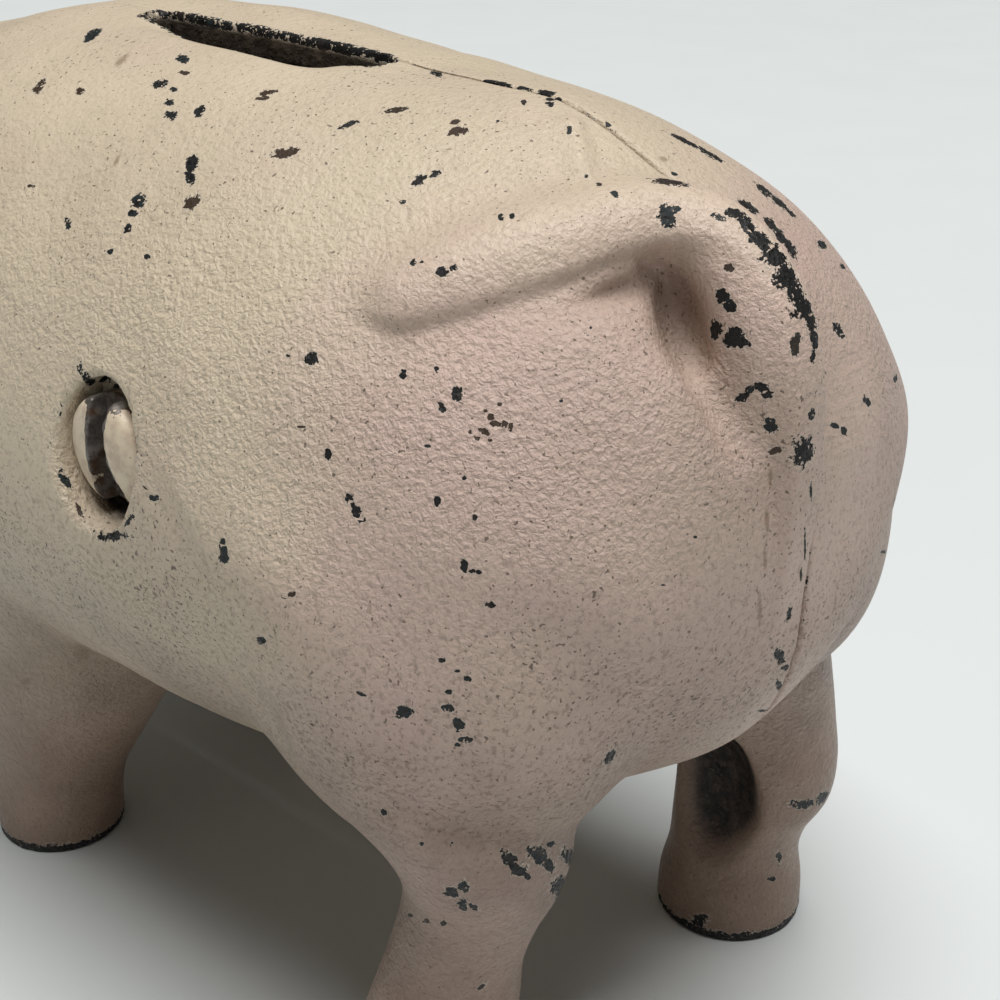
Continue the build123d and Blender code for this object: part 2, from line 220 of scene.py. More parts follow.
def barrel(x, y, z, s, inset):
    """Body: a superellipse along the pig whose sections are half ellipses above and below. Its ratio
    is carried to about millimetres by BARREL_SCALE."""
    up = ramp(z - s.axis_height, -10, 10)
    power = s.lower_power + (s.rump_power - s.lower_power) * up
    half = np.where(z > s.axis_height, s.rise - inset, s.drop - inset)
    along = np.abs(x - s.middle) / (np.where(x > s.middle, s.rump_reach, s.chest_reach) - inset)
    q = np.sqrt((y / (s.half_width - inset)) ** 2 + ((z - s.axis_height) / half) ** 2 + 1e-12)
    return ((along**power + q**power) ** (1 / power) - 1) * BARREL_SCALE


def feet(s, left):
    """Rear and front foot of a half: how far back and out it stands, its radius and its leg's rows."""
    back, rows = ((s.left_foot_back, LEFT_REAR_LEG_SHARES) if left else
                  (s.right_foot_back, RIGHT_REAR_LEG_SHARES))
    return ((s.middle + back, s.rear_foot_side, s.rear_foot, rows),
            (s.middle - s.front_foot_front, s.front_foot_side, s.front_foot, FRONT_LEG_SHARES))


def leg(x, y, z, s, back, out, radius, shares):
    """Leg: round sections whose centre and radius follow the rows of shares up the leg."""
    rows = np.asarray(shares)
    step = s.leg_height / (len(rows) - 1)
    cx = back + radius * even_rows(z, step, rows[:, 0])
    cy = out + radius * even_rows(z, step, rows[:, 1])
    r = radius * even_rows(z, step, rows[:, 2])
    return soft_max(np.hypot(x - cx, y - cy) - r, z - s.leg_height, 4.0)


def scoops(x, out, z, s, left):
    """Hollows in the inner faces of a half's legs."""
    (back, side, up), radii = LEG_SCOOP
    return np.minimum(*(ball(x, out, z, (foot_back + back, foot_out - radius + side, up), radii)
                        for foot_back, foot_out, radius, _ in feet(s, left)))


def ear(x, y, z, s):
    """Ear: a thin ellipsoid in its own leaning axes, hollowed in front and bent at the tip."""
    lie = np.array(EAR_LIE)
    lie /= np.linalg.norm(lie)
    front = np.array(EAR_FACE)
    front -= lie * (front @ lie)
    front /= np.linalg.norm(front)
    px, py, pz = x - (s.middle + EAR_PLACE[0]), y - EAR_PLACE[1], z - EAR_PLACE[2]
    u, v, w = (px * k[0] + py * k[1] + pz * k[2] for k in (lie, np.cross(front, lie), front))
    w = w + 0.012 * np.maximum(u, 0) ** 2 + 0.02 * v * v
    leaf = ball(u, v * (1 + 0.02 * u), w, (0, 0, 0), LEAF_HALVES)
    cup = ball(u, v * (1 + 0.02 * u), w, CUP_PLACE, CUP_HALVES)
    return soft_max(leaf, -cup, 1.2)


def head(x, y, z, s):
    """Head: a ball with jowls and a brow, and a tapering snout with a rim, nostrils and a mouth."""
    f = lump(x, y, z, s, (HEAD, (s.head_radius - 1, s.head_radius - 2, s.head_radius - 1.5)))
    f = soft_min(f, lump(x, y, z, s, JOWL), 7.0)
    f = soft_min(f, lump(x, y, z, s, BROW), 6.0)
    across = np.hypot(y, z - SNOUT_HEIGHT)
    taper = SNOUT_RADIUS + (x - (s.middle - 49)) * 0.17
    cone = np.maximum(across - taper, s.middle - SNOUT_END - x)
    f = soft_min(f, soft_max(cone, x - (s.middle - 40), 4.0), 5.0)
    rim = disc(across, x - (s.middle - SNOUT_END + 0.6), SNOUT_RIM_RADIUS, SNOUT_RIM_HALF, SNOUT_RIM_EDGE)
    f = soft_max(soft_min(f, rim, 1.2), -lump(x, y, z, s, NOSTRIL), 0.8)
    ahead = s.middle - x
    mouth = hump(z - MOUTH_HEIGHT - 0.03 * (58 - ahead) ** 2, 0, 0.9)
    return f + 0.9 * mouth * ramp(ahead, 46, 50) * (1 - ramp(ahead, 63, 66))


def with_face(f, x, y, z, s):
    """The skin with its eyes, each a ball between lids, and its drooping ears."""
    f = soft_min(f, lump(x, y, z, s, EYELIDS), 1.0)
    f = soft_max(f, -lump(x, y, z, s, EYE_SOCKET), 0.5)
    f = soft_min(f, lump(x, y, z, s, EYEBALL), 0.2)
    return soft_min(f, ear(x, y, z, s), 0.9)


def with_tail(f, x, y, z, s):
    """The left skin with the slot's pressed lip, the tail in relief, its hollow and the raised run."""
    lip = ramp(y, -7.5, -3.4) * (1 - ramp(np.abs(x - s.slot_middle), 8, 16.5))
    f = f + s.lip_dish * lip * ramp(z, 84, 88)
    from_dent = np.sqrt((x - DENT[0]) ** 2 + (y - DENT[1]) ** 2 + (z - DENT[2]) ** 2)
    below_ridge = RIDGE_HEIGHT - RIDGE_FALL * y * y - z
    tail = tube(x, y, z, TAIL_LINE)
    valley = (hump(tail, 1.6, 2.2) * ramp(below_ridge, 0.5, 3.5) * ramp(-y, 4.5, 7) * ramp(z, 68, 75)
              * (1 - 0.6 * ramp(-y, 12, 20)))
    f = soft_max(f + 0.8 * hump(from_dent, 0, 3.4) + 1.1 * valley, -tube(x, y, z, POCKET_LINE), 1.2)
    f = soft_max(f, -tube(x, y, z, POCKET_FLOOR_LINE), 0.8)
    inner = ramp(below_ridge, -1, 1.5) * ramp(-y, 3.5, 5.5)
    f = soft_min(f, tail, 0.4 + 3.0 * (1 - inner) + 0.5 * ramp(-y, 9, 16))
    px, py, pz = x - RUN_START[0], y - RUN_START[1], z - RUN_START[2]
    dx, dy, dz = RUN_LENGTH
    along = np.clip((px * dx + py * dy + pz * dz) / RUN_SQUARE, 0, 1)
    from_run = np.sqrt((px - dx * along) ** 2 + (py - dy * along) ** 2 + (pz - dz * along) ** 2)
    return f - 0.5 * hump(from_run, 0, 0.9)


def pig_form(x, y, z, s, left):
    """Outer skin of the whole pig; only the left half carries the tail."""
    ay = np.abs(y)
    blend = 2.2 + 3.4 * ramp(z, 42, 62) * ramp(-x, -56, -44)
    haunch = ((s.haunch_back, s.haunch_side, s.haunch_height),
              (s.haunch_radius, s.haunch_bulge + 0.3, s.haunch_radius))
    f = soft_min(barrel(x, y, z, s, 0.0), lump(x, ay, z, s, haunch), blend)
    f = soft_min(f, lump(x, ay, z, s, SHOULDER), 6.0)
    rear, front = (leg(x, ay, z, s, *foot) for foot in feet(s, left))
    f = soft_min(f, rear, 3.0 - 1.9 * ramp(x, 52, 57))
    f = soft_min(f, front, 4.0)
    f = with_face(soft_min(f, head(x, ay, z, s), 7.0), x, ay, z, s)
    if left:
        f = with_tail(f, x, y, z, s)
    swell = (np.sin(x * 0.31 + 1.3 + 2.0 * np.sin(z * 0.09)) * np.sin(y * 0.23 + 0.4 + np.sin(x * 0.17))
             * np.sin(z * 0.27 + 2.1 + 1.5 * np.sin(x * 0.11 + y * 0.07)))
    high = ramp(z, 78, 90)
    raised_back = 0.3 if left else 1.1 * ramp(y, 0.5, 6)
    f = f - raised_back * hump(x, -1, 15) * high + 0.9 * ramp(-x, 22, 36) * high
    haunch_edge = x - (s.middle + 41.1) + 0.0225 * np.clip(z - 43, 0, 40) ** 2
    f = f - 0.7 * (ramp(haunch_edge, -2.2, 2.2) * (1 - ramp(haunch_edge, 6, 18)) * ramp(z, 36, 46)
                   * (1 - ramp(z, 60, 70)) * ramp(ay, 20, 28))
    f = f - 0.9 * hump(x, 43, 8) * hump(y, 0, 9) * high
    return soft_max(f + 0.14 * swell, -z, 0.7)


def from_screw_axis(x, z, s):
    """How far from the screw's axis a place lies."""
    return np.hypot(x - s.screw_back, z - s.screw_height)


def from_slot(x, y, s):
    """How far outside the coin slot's outline a place lies, seen from above."""
    past_end = np.maximum(np.abs(x - s.slot_middle) - s.slot_length / 2 + s.slot_width / 2, 0)
    return np.hypot(past_end, y - s.slot_side) - s.slot_width / 2


def half_form(x, y, z, s, left):
    """One half casting: the skin less the hollow, the bores, the slot and its seats, cut at the
    parting plane with the paint's soft edge, with the pegs on the left and sockets on the right."""
    out = -y if left else y
    skin = pig_form(x, y, z, s, left)
    hollow = np.minimum(barrel(x, y, z, s, s.wall), lump(x, y, z, s, (HEAD, (s.head_radius - s.wall,) * 3)))
    from_screw = from_screw_axis(x, z, s)
    boss = from_screw - BOSS_RADIUS
    if left:
        boss = np.minimum(boss, ball(x, y, z, *TAIL_BOSS))
    else:
        boss = np.minimum(boss, np.maximum(from_screw - NUT_BOSS_RADIUS, NUT_BOSS_DEPTH - out))
    lugs = np.minimum(*(np.hypot(x - (s.middle + back), z - up) for back, up in LUGS))
    boss = np.minimum(boss, np.maximum(lugs - LUG_RADIUS, out - LUG_REACH))
    f = soft_max(skin, -soft_max(hollow, -boss, 1.5), 0.8)
    f = soft_max(f, s.bore - from_screw, 0.4)
    f = soft_max(f, -scoops(x, out, z, s, left), 1.3)
    ragged = 0.22 * np.sin(x * 2.1) * np.sin(x * 0.83 + 1.0) + 0.15 * np.sin(x * 5.3 + 0.5)
    f = soft_max(f, -np.maximum(from_slot(x, y, s) + ragged, SLOT_FLOOR - z), 0.5)
    if left:
        oval = np.hypot((x - s.screw_back) * s.recess / s.recess_half, z - s.screw_height)
        seat = np.maximum((oval - s.recess) * s.recess_half / s.recess, s.half_width - RECESS_DEPTH - out)
        f = soft_max(f, -seat, 0.5)
    else:
        square = np.maximum(np.abs(x - s.screw_back), np.abs(z - s.screw_height)) - NUT_POCKET_HALF
        f = soft_max(f, -np.maximum(square, s.half_width - NUT_POCKET_DEPTH - out), 0.5)
        f = soft_max(f, -np.maximum(lugs - SOCKET_RADIUS, out - PEG_REACH), 0.3)
    f = soft_max(f, PARTING_GAP - out, 0.35)
    if left:
        peg = disc(lugs, out - 0.2, PEG_RADIUS, PEG_REACH - 0.2, 0.5)
        f = np.minimum(f, np.maximum(peg, out - PEG_REACH))
    return f


# ---------------------------------------------------------------- meshes

def polygonise(field, xs, ys, zs, stride=4, steep=1.3):
    """Surface nets: one vertex in every grid cell that the zero surface crosses, at the mean of
    the crossings of its edges, and one quad round every crossed grid edge. Blocks of cells whose
    corners lie further from the surface than the block is wide are skipped."""
    axes = (xs, ys, zs)
    n = [len(a) for a in axes]
    picks = [np.unique(np.append(np.arange(0, m, stride), m - 1)) for m in n]
    rough_grid = np.meshgrid(*[a[p] for a, p in zip(axes, picks)], indexing="ij")
    rough = field(*[g.ravel() for g in rough_grid]).reshape(rough_grid[0].shape)
    wide = [np.diff(a[p]).max() for a, p in zip(axes, picks)]
    close = np.abs(rough) < steep * math.sqrt(sum(w * w for w in wide))
    block = np.zeros([len(p) - 1 for p in picks], bool)
    for i, j, k in np.ndindex(2, 2, 2):
        block |= close[i:i + block.shape[0], j:j + block.shape[1], k:k + block.shape[2]]
    padded = np.pad(block, 1)
    for i, j, k in np.ndindex(3, 3, 3):
        block |= padded[i:i + block.shape[0], j:j + block.shape[1], k:k + block.shape[2]]
    value = rough[np.ix_(*[np.minimum(np.arange(m) // stride, len(p) - 1) for m, p in zip(n, picks)])].copy()
    wanted = block[np.ix_(*[np.minimum(np.arange(m) // stride, b - 1) for m, b in zip(n, block.shape)])]
    i, j, k = np.nonzero(wanted)
    value[i, j, k] = field(xs[i], ys[j], zs[k])
    inside = value < 0
    count = np.zeros([m - 1 for m in n], np.int8)
    for i, j, k in np.ndindex(2, 2, 2):
        count += inside[i:i + n[0] - 1, j:j + n[1] - 1, k:k + n[2] - 1]
    active = (count > 0) & (count < 8)
    cells = np.argwhere(active)
    number = np.full(active.shape, -1, np.int64)
    number[active] = np.arange(len(cells))
    total, hits = np.zeros((len(cells), 3)), np.zeros(len(cells))
    for corner in np.ndindex(2, 2, 2):
        for k in range(3):
            if corner[k]:
                continue
            other = list(corner)
            other[k] = 1
            a = cells + np.array(corner)
            b = cells + np.array(other)
            va, vb = value[tuple(a.T)], value[tuple(b.T)]
            cross = (va < 0) != (vb < 0)
            t = np.where(cross, va / np.where(cross, va - vb, 1), 0)
            pa = np.stack([axes[m][a[:, m]] for m in range(3)], 1)
            pb = np.stack([axes[m][b[:, m]] for m in range(3)], 1)
            total += np.where(cross[:, None], pa + t[:, None] * (pb - pa), 0)
            hits += cross
    points = total / hits[:, None]
    quads = []
    for k in range(3):
        i, j = ((1, 2), (2, 0), (0, 1))[k]
        first = [slice(None)] * 3
        second = [slice(None)] * 3
        first[k], second[k] = slice(0, -1), slice(1, None)
        a, b = inside[tuple(first)], inside[tuple(second)]
        edges = np.argwhere(a != b)
        edges = edges[(edges[:, i] > 0) & (edges[:, j] > 0) & (edges[:, i] < n[i] - 1) & (edges[:, j] < n[j] - 1)]

        def cell(di, dj):
            q = edges.copy()
            q[:, i] -= di
            q[:, j] -= dj
            return number[tuple(q.T)]

        quad = np.stack([cell(1, 1), cell(0, 1), cell(0, 0), cell(1, 0)], 1)
        flip = ~a[tuple(edges.T)]
        quad[flip] = quad[flip][:, ::-1]
        quads.append(quad)
    return points, np.concatenate(quads)


def slope_of(field, points, step=0.04):
    """Gradient of a field by central differences."""
    sides = np.eye(3) * step
    return np.stack([(field(*(points + d).T) - field(*(points - d).T)) / (2 * step) for d in sides], 1)


def settle(field, points, rounds=3):
    """Newton steps that put every vertex on the zero surface, each at most half a millimetre."""
    for _ in range(rounds):
        g = slope_of(field, points)
        f = field(*points.T)
        points = points - np.clip(f / np.maximum((g**2).sum(1), 0.05), -0.5, 0.5)[:, None] * g
    return points


def graded(low, high, places, steps):
    """Grid lines from low to high, as far apart as the steps read between the places say."""
    lines = [low]
    while lines[-1] < high:
        lines.append(lines[-1] + np.interp(lines[-1], places, steps))
    return np.array(lines)


def make_piece(name, points, quads, sharp=55.0):
    """Mesh object at the origin from points in millimetres, smooth but for edges over the angle."""
    mesh = bpy.data.meshes.new(name)
    mesh.from_pydata((points / MM).tolist(), [], quads.tolist())
    mesh.shade_smooth()
    mesh.set_sharp_from_angle(angle=math.radians(sharp))
    piece = bpy.data.objects.new(name, mesh)
    bpy.context.scene.collection.objects.link(piece)
    return piece


def field_on(piece, name, values):
    """Store one number per vertex as a named attribute that the materials read."""
    piece.data.attributes.new(name, "FLOAT", "POINT").data.foreach_set("value", np.asarray(values, np.float32))


def camera_frame(s):
    """Eye in millimetres and the camera's right, up and backward axes, from its angles."""
    az, el, roll = s.azimuth, s.elevation, s.roll
    back = np.array((math.sin(az) * math.cos(el), -math.cos(az) * math.cos(el), math.sin(el)))
    right = np.cross(-back, (0, 0, 1))
    right /= np.linalg.norm(right)
    up = np.cross(right, -back)
    turned_right = right * math.cos(roll) + up * math.sin(roll)
    turned_up = -right * math.sin(roll) + up * math.cos(roll)
    return np.array(CAMERA_TARGET_MM) + back * s.distance * MM, turned_right, turned_up, back


def sight(s, u, v):
    """Direction from the eye through a pixel of the photograph's frame."""
    eye, right, up, back = camera_frame(s)
    half = s.frame_pixels / 2
    d = right * (u - half) / s.focal_pixels - up * (v - half) / s.focal_pixels - back
    return d / np.linalg.norm(d)


def lay_marks(stage, pieces, marks):
    """Lay each mark of worn paint on the surface that its pixel sees: where the line of sight first
    meets a piece, the mark's two half lengths are carried onto the tangent plane there. Every face
    then takes, at each of its corners, its place in the nearest mark's own axes: 1 at the mark's rim
    along the surface, and 1 at MARK_THICK off it, so that a mark stays on the face that carries it."""
    eye = camera_frame(stage)[0]
    trees = [BVHTree.FromPolygons([v.co * MM for v in p.data.vertices], [f.vertices for f in p.data.polygons])
             for p in pieces]
    laid = []
    for u, v, half_long, half_short, turn, kind in marks:
        hits = []
        for tree in trees:
            place, normal, _, away = tree.ray_cast(Vector(eye), Vector(sight(stage, u, v)))
            if place is not None:
                hits.append((away, np.array(place), np.array(normal)))
        if not hits:
            print("mark off the pig:", u, v)
            continue
        _, place, normal = min(hits, key=lambda hit: hit[0])
        a = math.radians(turn)
        axes = []
        for du, dv in ((math.cos(a) * half_long, math.sin(a) * half_long),
                       (-math.sin(a) * half_short, math.cos(a) * half_short)):
            ray = sight(stage, u + du, v + dv)
            axis = eye + ray * (((place - eye) @ normal) / min(ray @ normal, MARK_GRAZING)) - place
            axis -= normal * (axis @ normal)
            axes.append(axis * min(1.0, MARK_LONGEST / np.linalg.norm(axis)))
        to_own = np.vstack((np.linalg.pinv(np.array(axes).T), normal / MARK_THICK))
        laid.append((place, to_own.T, kind))
    for piece in pieces:
        mesh = piece.data
        co = np.empty(len(mesh.vertices) * 3, np.float32)
        mesh.vertices.foreach_get("co", co)
        corner = np.empty(len(mesh.loops), np.int32)
        mesh.loops.foreach_get("vertex_index", corner)
        corners = (co.reshape(-1, 3).astype(float) * MM)[corner]
        middles = corners.reshape(-1, 4, 3).mean(1)
        best = np.full(len(middles), MARK_FAR)
        value, kinds = np.full((len(corner), 3), MARK_NONE), np.zeros(len(corner))
        for place, to_own, kind in laid:
            near = np.nonzero(np.abs(middles - place).max(1) < MARK_SEARCH)[0]
            size = np.linalg.norm((middles[near] - place) @ to_own, axis=1)
            won = near[size < best[near]]
            best[won] = size[size < best[near]]
            here = (won[:, None] * 4 + np.arange(4)).ravel()
            value[here] = (corners[here] - place) @ to_own
            kinds[here] = kind
        for name, kind_of, key, numbers in (("mark", "FLOAT_VECTOR", "vector", value),
                                            ("mark_kind", "FLOAT", "value", kinds)):
            mesh.attributes.new(name, kind_of, "CORNER").data.foreach_set(key, numbers.astype(np.float32).ravel())


def mm(settings):
    """Plain values of a group of settings, with its lengths in millimetres."""
    return SimpleNamespace(**{
        p.identifier: getattr(settings, p.identifier) * (MM if p.unit == "LENGTH" else 1.0)
        for p in settings.bl_rna.properties if p.type == "FLOAT" and not p.is_readonly and not p.is_array})


# ---------------------------------------------------------------- settings

def length(name, description, default):
    """A length property, in metres, whose default is typed in millimetres."""
    return FloatProperty(name=name, description=description, default=default / MM, unit="LENGTH",
                         subtype="DISTANCE", precision=5)


def angle(name, description, degrees):
    """An angle property whose default is typed in degrees."""
    return FloatProperty(name=name, description=description, default=math.radians(degrees), subtype="ANGLE")


def share(name, description, default):
    """A property from 0 to 1."""
    return FloatProperty(name=name, description=description, default=default, min=0, max=1)


def amount(name, description, default):
    """A property of 0 or more."""
    return FloatProperty(name=name, description=description, default=default, min=0)


def colour(name, description, default):
    """A linear colour property."""
    return FloatVectorProperty(name=name, description=description, default=default, subtype="COLOR", min=0, max=1)


class PigBodySizes(bpy.types.PropertyGroup):
    middle: length("Body middle", "How far back the middle of the body is", 1.1)
    rump_reach: length("Rump reach", "From the middle of the body back to the rump", 68.9)
    chest_reach: length("Chest reach", "From the middle of the body forward to the chest", 60.0)
    half_width: length("Half width", "Half the width of the barrel", 36.0)
    axis_height: length("Axis height", "Height of the barrel's middle", 56.2)
    rise: length("Rise", "From the barrel's middle to the back", 36.7)
    drop: length("Drop", "From the barrel's middle to the belly", 30.4)
    wall: length("Wall", "Thickness of the casting", 3.5)
    rump_power: FloatProperty(name="Rump power", description="Power of the upper rump's curve", default=3.33)
    lower_power: FloatProperty(name="Lower power", description="Power of the lower rump's curve", default=2.6)
    haunch_back: length("Haunch place", "How far behind the middle the haunch lies", 43.7)
    haunch_side: length("Haunch side", "How far out the haunch's middle lies", 18.3)
    haunch_height: length("Haunch height", "Height of the haunch's middle", 50.0)
    haunch_radius: length("Haunch radius", "Radius of the haunch seen from the side", 20.1)
    haunch_bulge: length("Haunch bulge", "Half the haunch's thickness", 14.2)
    leg_height: length("Leg height", "Height to which the legs run into the body", 42.0)
    rear_foot: length("Rear foot", "Radius of a rear foot", 8.0)
    front_foot: length("Front foot", "Radius of a front foot", 7.4)
    right_foot_back: length("Right rear foot", "How far behind the middle it stands", 47.2)
    left_foot_back: length("Left rear foot", "How far behind the middle it stands", 45.0)
    rear_foot_side: length("Rear foot side", "How far out the rear feet stand", 22.9)
    front_foot_front: length("Front feet", "How far before the middle they stand", 20.0)
    front_foot_side: length("Front foot side", "How far out the front feet stand", 19.3)
    screw_back: length("Screw place", "How far back the screw is", 21.5)
    screw_height: length("Screw height", "Height of the screw", 64.6)
    bore: length("Bore", "Radius of the screw's bore", 3.775)
    recess: length("Recess", "Half the height of the oval recess round the screw's head", 6.5)
    recess_half: length("Recess width", "Half the width of that recess", 5.25)
    slot_middle: length("Slot place", "How far back the middle of the coin slot is", 6.2)
    slot_length: length("Slot length", "Length of the coin slot", 34.0)
    slot_width: length("Slot width", "Width of the coin slot", 3.6)
    slot_side: length("Slot side", "How far right of the parting plane the slot's middle is", -1.7)
    lip_dish: length("Lip dish", "How far the left lip of the slot is pressed down", 1.3)
    head_radius: length("Head radius", "Radius of the head's ball", 27.5)


class PigScrewSizes(bpy.types.PropertyGroup):
    head_radius: length("Head radius", "Radius of the screw's head", 4.95)
    head_rim: length("Head rim", "Height of the head's straight rim", 2.4)
    head_dome: length("Head dome", "Height of the head's dome", 1.5)
    driver_width: length("Driver slot", "Width of the slot across the head", 2.3)
    driver_depth: length("Driver slot depth", "Depth of the slot across the head", 2.6)
    shank: length("Shank radius", "Radius over the thread", 3.175)
    pitch: length("Pitch", "Rise of the thread in one turn", 1.27)
    thread_depth: length("Thread depth", "Depth of the thread", 0.65)
    thread_length: length("Thread length", "Length of the threaded end", 24.0)
    nut_width: length("Nut width", "Width of the square nut across its flats", 11.1)
    nut_thickness: length("Nut thickness", "Thickness of the nut", 5.6)


class PigPaintSettings(bpy.types.PropertyGroup):
    cream: colour("Cream", "Paint of the back and the flanks", (0.76, 0.635, 0.465))
    pink: colour("Pink", "Paint of the rump and the tail", (0.73, 0.535, 0.455))
    # Darker pink towards the bottom, on the legs and the belly
    leg_pink: colour("Leg pink", "Dirtier paint of the legs and the belly", (0.55, 0.39, 0.30))
    cloud: colour("Clouding", "Darker clouds in the paint", (0.56, 0.44, 0.33))
    # Brown grime with painted shade, on the lower body and the legs
    film: colour("Grime film", "Brown film on the lower body and the legs", (0.125, 0.074, 0.05))
    # Near black deep inside and in the leg hollows: painted shade with soot
    deep_shade_and_soot: colour("Soot", "Black deep in the hollows", (0.010, 0.006, 0.004))
    paint_edge: colour("Paint edge", "Thick pale paint at the rim of a chip", (0.72, 0.64, 0.53))
    # Colour of the dirt and painted shade in the pits and the hollows
    dirt: colour("Dirt", "Dirt in pits and hollows", (0.17, 0.125, 0.085))
    speck: colour("Specks", "Fine dark specks", (0.09, 0.065, 0.045))
    rust: colour("Stain", "Soft brown stain on the paint", (0.20, 0.125, 0.07))
    rust_dark: colour("Rust", "Dark rust on bare iron", (0.055, 0.03, 0.016))
    iron: colour("Iron", "Bare black iron", (0.004, 0.0035, 0.003))
    bloom: colour("Bloom", "Blue-green bloom on bare iron", (0.013, 0.021, 0.021))
    raw_dark: colour("Raw dark", "Dark parts of the raw inside", (0.07, 0.053, 0.038))
    raw_brown: colour("Raw brown", "Lighter parts of the raw inside", (0.16, 0.122, 0.088))
    steel: colour("Steel", "Steel of the screw and the nut", (0.20, 0.18, 0.16))
    # Strength of the dirt and painted shade in the pits of the grain
    pit_shade_and_dirt: share("Pit dirt", "How much dirt the pits of the grain hold", 0.42)
    # Strength of that brown grime and painted shade
    grime_and_shade_film_share: share("Film", "How strong the brown film is", 0.7)
    # Strength of the painted shade and dirt in the hollows
    hollow_shade_and_dirt_share: share("Hollow dirt", "How much dirt the hollows hold", 0.55)
    paint_roughness: share("Paint roughness", "Roughness of the paint", 0.36)
    grain_height: length("Grain height", "Height of the casting's grain under the paint", 0.44)
    paint_depth: length("Paint thickness", "How deep a chip is", 0.09)
    paint_reach: length("Paint reach", "How far over an edge the paint runs", 0.7)


class PigStageSettings(bpy.types.PropertyGroup):
    azimuth: angle("Azimuth", "Direction of the camera round the pig", 43.755)
    elevation: angle("Elevation", "Height of the camera as an angle", 25.6005)
    roll: angle("Roll", "Turn of the camera about its own line of sight", -0.425)
    distance: length("Distance", "From the camera to what it looks at", 177.01)
    focal_pixels: amount("Focal length in pixels", "Focal length of the camera in the photograph's pixels", 1756.0)
    frame_pixels: IntProperty(name="Frame", description="Width of the photograph in pixels", default=1000)
    floor_colour: colour("Floor colour", "Colour of the floor", (0.74, 0.77, 0.76))
    floor_size: length("Floor size", "Half the width of the floor", 3000.0)
    room_colour: colour("Room colour", "Colour of the light from all round", (0.95, 0.98, 1.0))
    room_light: amount("Room light", "Strength of the light from all round", 0.07)
    room_seen: amount("Room seen", "Brightness of the room behind the floor", 0.74)
    key_power: amount("Key light", "Power of the light overhead, in watts", 178.0)
    key_size: length("Key size", "Width of the light overhead", 2600.0)
    key_place: FloatVectorProperty(name="Key place", description="Where the light overhead hangs, in metres",
                                   default=(0.5, -0.1, 3.9), subtype="TRANSLATION", unit="LENGTH")


# Worn paint, measured in the photograph: pixel across and down, half length and half width
# in pixels, the angle of its length in degrees (clockwise from rightward), and what shows there:
# 0 black iron, 0.25 iron with a blue-green bloom, 0.5 brown rust, 0.8 a soft stain on the paint.
TAIL_MARKS = (
    (668, 217, 13, 8, 70, 0.3), (673, 210, 8, 4, -10, 0.3), (728, 267, 5, 4, 0, 0.45), (723, 296, 8, 7, 60, 0.1),
    (730, 306, 9, 6, 40, 0), (715, 330, 9, 6, 100, 0.1), (735, 338, 12, 10, 20, 0), (742, 397, 7, 4, -25, 0),
    (750, 390, 7, 4, -40, 0.2), (761, 387, 7, 5, 10, 0), (768, 395, 6, 5, 90, 0), (795, 315, 5, 4, 0, 0),
    (796, 344, 12, 5, 100, 0.4), (771, 426, 7, 6, 0, 0.3), (776, 450, 7, 4, -15, 0.5), (805, 452, 14, 9, 100, 0),
    (812, 414, 7, 3, 100, 0), (615, 194, 4, 3, 30, 0.3), (719, 217, 7, 3, 20, 0), (735, 213, 9, 5, 10, 0),
    (747, 224, 11, 7, 45, 0), (760, 240, 14, 9, 50, 0), (775, 257, 14, 11, 52, 0), (787, 276, 14, 11, 60, 0),
    (795, 292, 12, 9, 62, 0), (803, 308, 13, 8, 65, 0), (811, 322, 10, 6, 70, 0), (815, 340, 10, 4, 80, 0),
    (813, 356, 7, 3, 100, 0), (770, 223, 9, 4, 50, 0.35), (781, 236, 12, 4, 52, 0.35), (791, 249, 11, 4, 55, 0.35),
    (748, 206, 11, 4, 32, 0.35), (668, 181, 17, 3, 8, 0.4),
)
RIGHT_HALF_MARKS = (
    (822, 245, 5, 4, 30, 0.2), (843, 267, 3, 2, 45, 0.2), (838, 330, 7, 4, 60, 0.1), (843, 337, 3, 2, 0, 0),
    (867, 401, 5, 3, 50, 0.2), (835, 426, 6, 3, 10, 0.2), (844, 431, 5, 3, 50, 0.2), (884, 552, 3, 2, 0, 0.2),
    (685, 141, 18, 2, 27, 0.35), (710, 154, 14, 2.5, 30, 0.35), (765, 191, 12, 3, 40, 0.35),
    (780, 203, 13, 3, 40, 0.35), (791, 213, 7, 2.5, 40, 0.35), (896, 378, 2, 4, 0, 0.2),
    (804, 804, 11, 5, -10, 0.2), (823, 798, 8, 4, -50, 0.2), (779, 857, 6, 3, 90, 0.1), (772, 879, 4, 2.5, 0, 0.1),
    (699, 920, 9, 6, 0, 0), (663, 159, 5, 2, 20, 0.8),
)
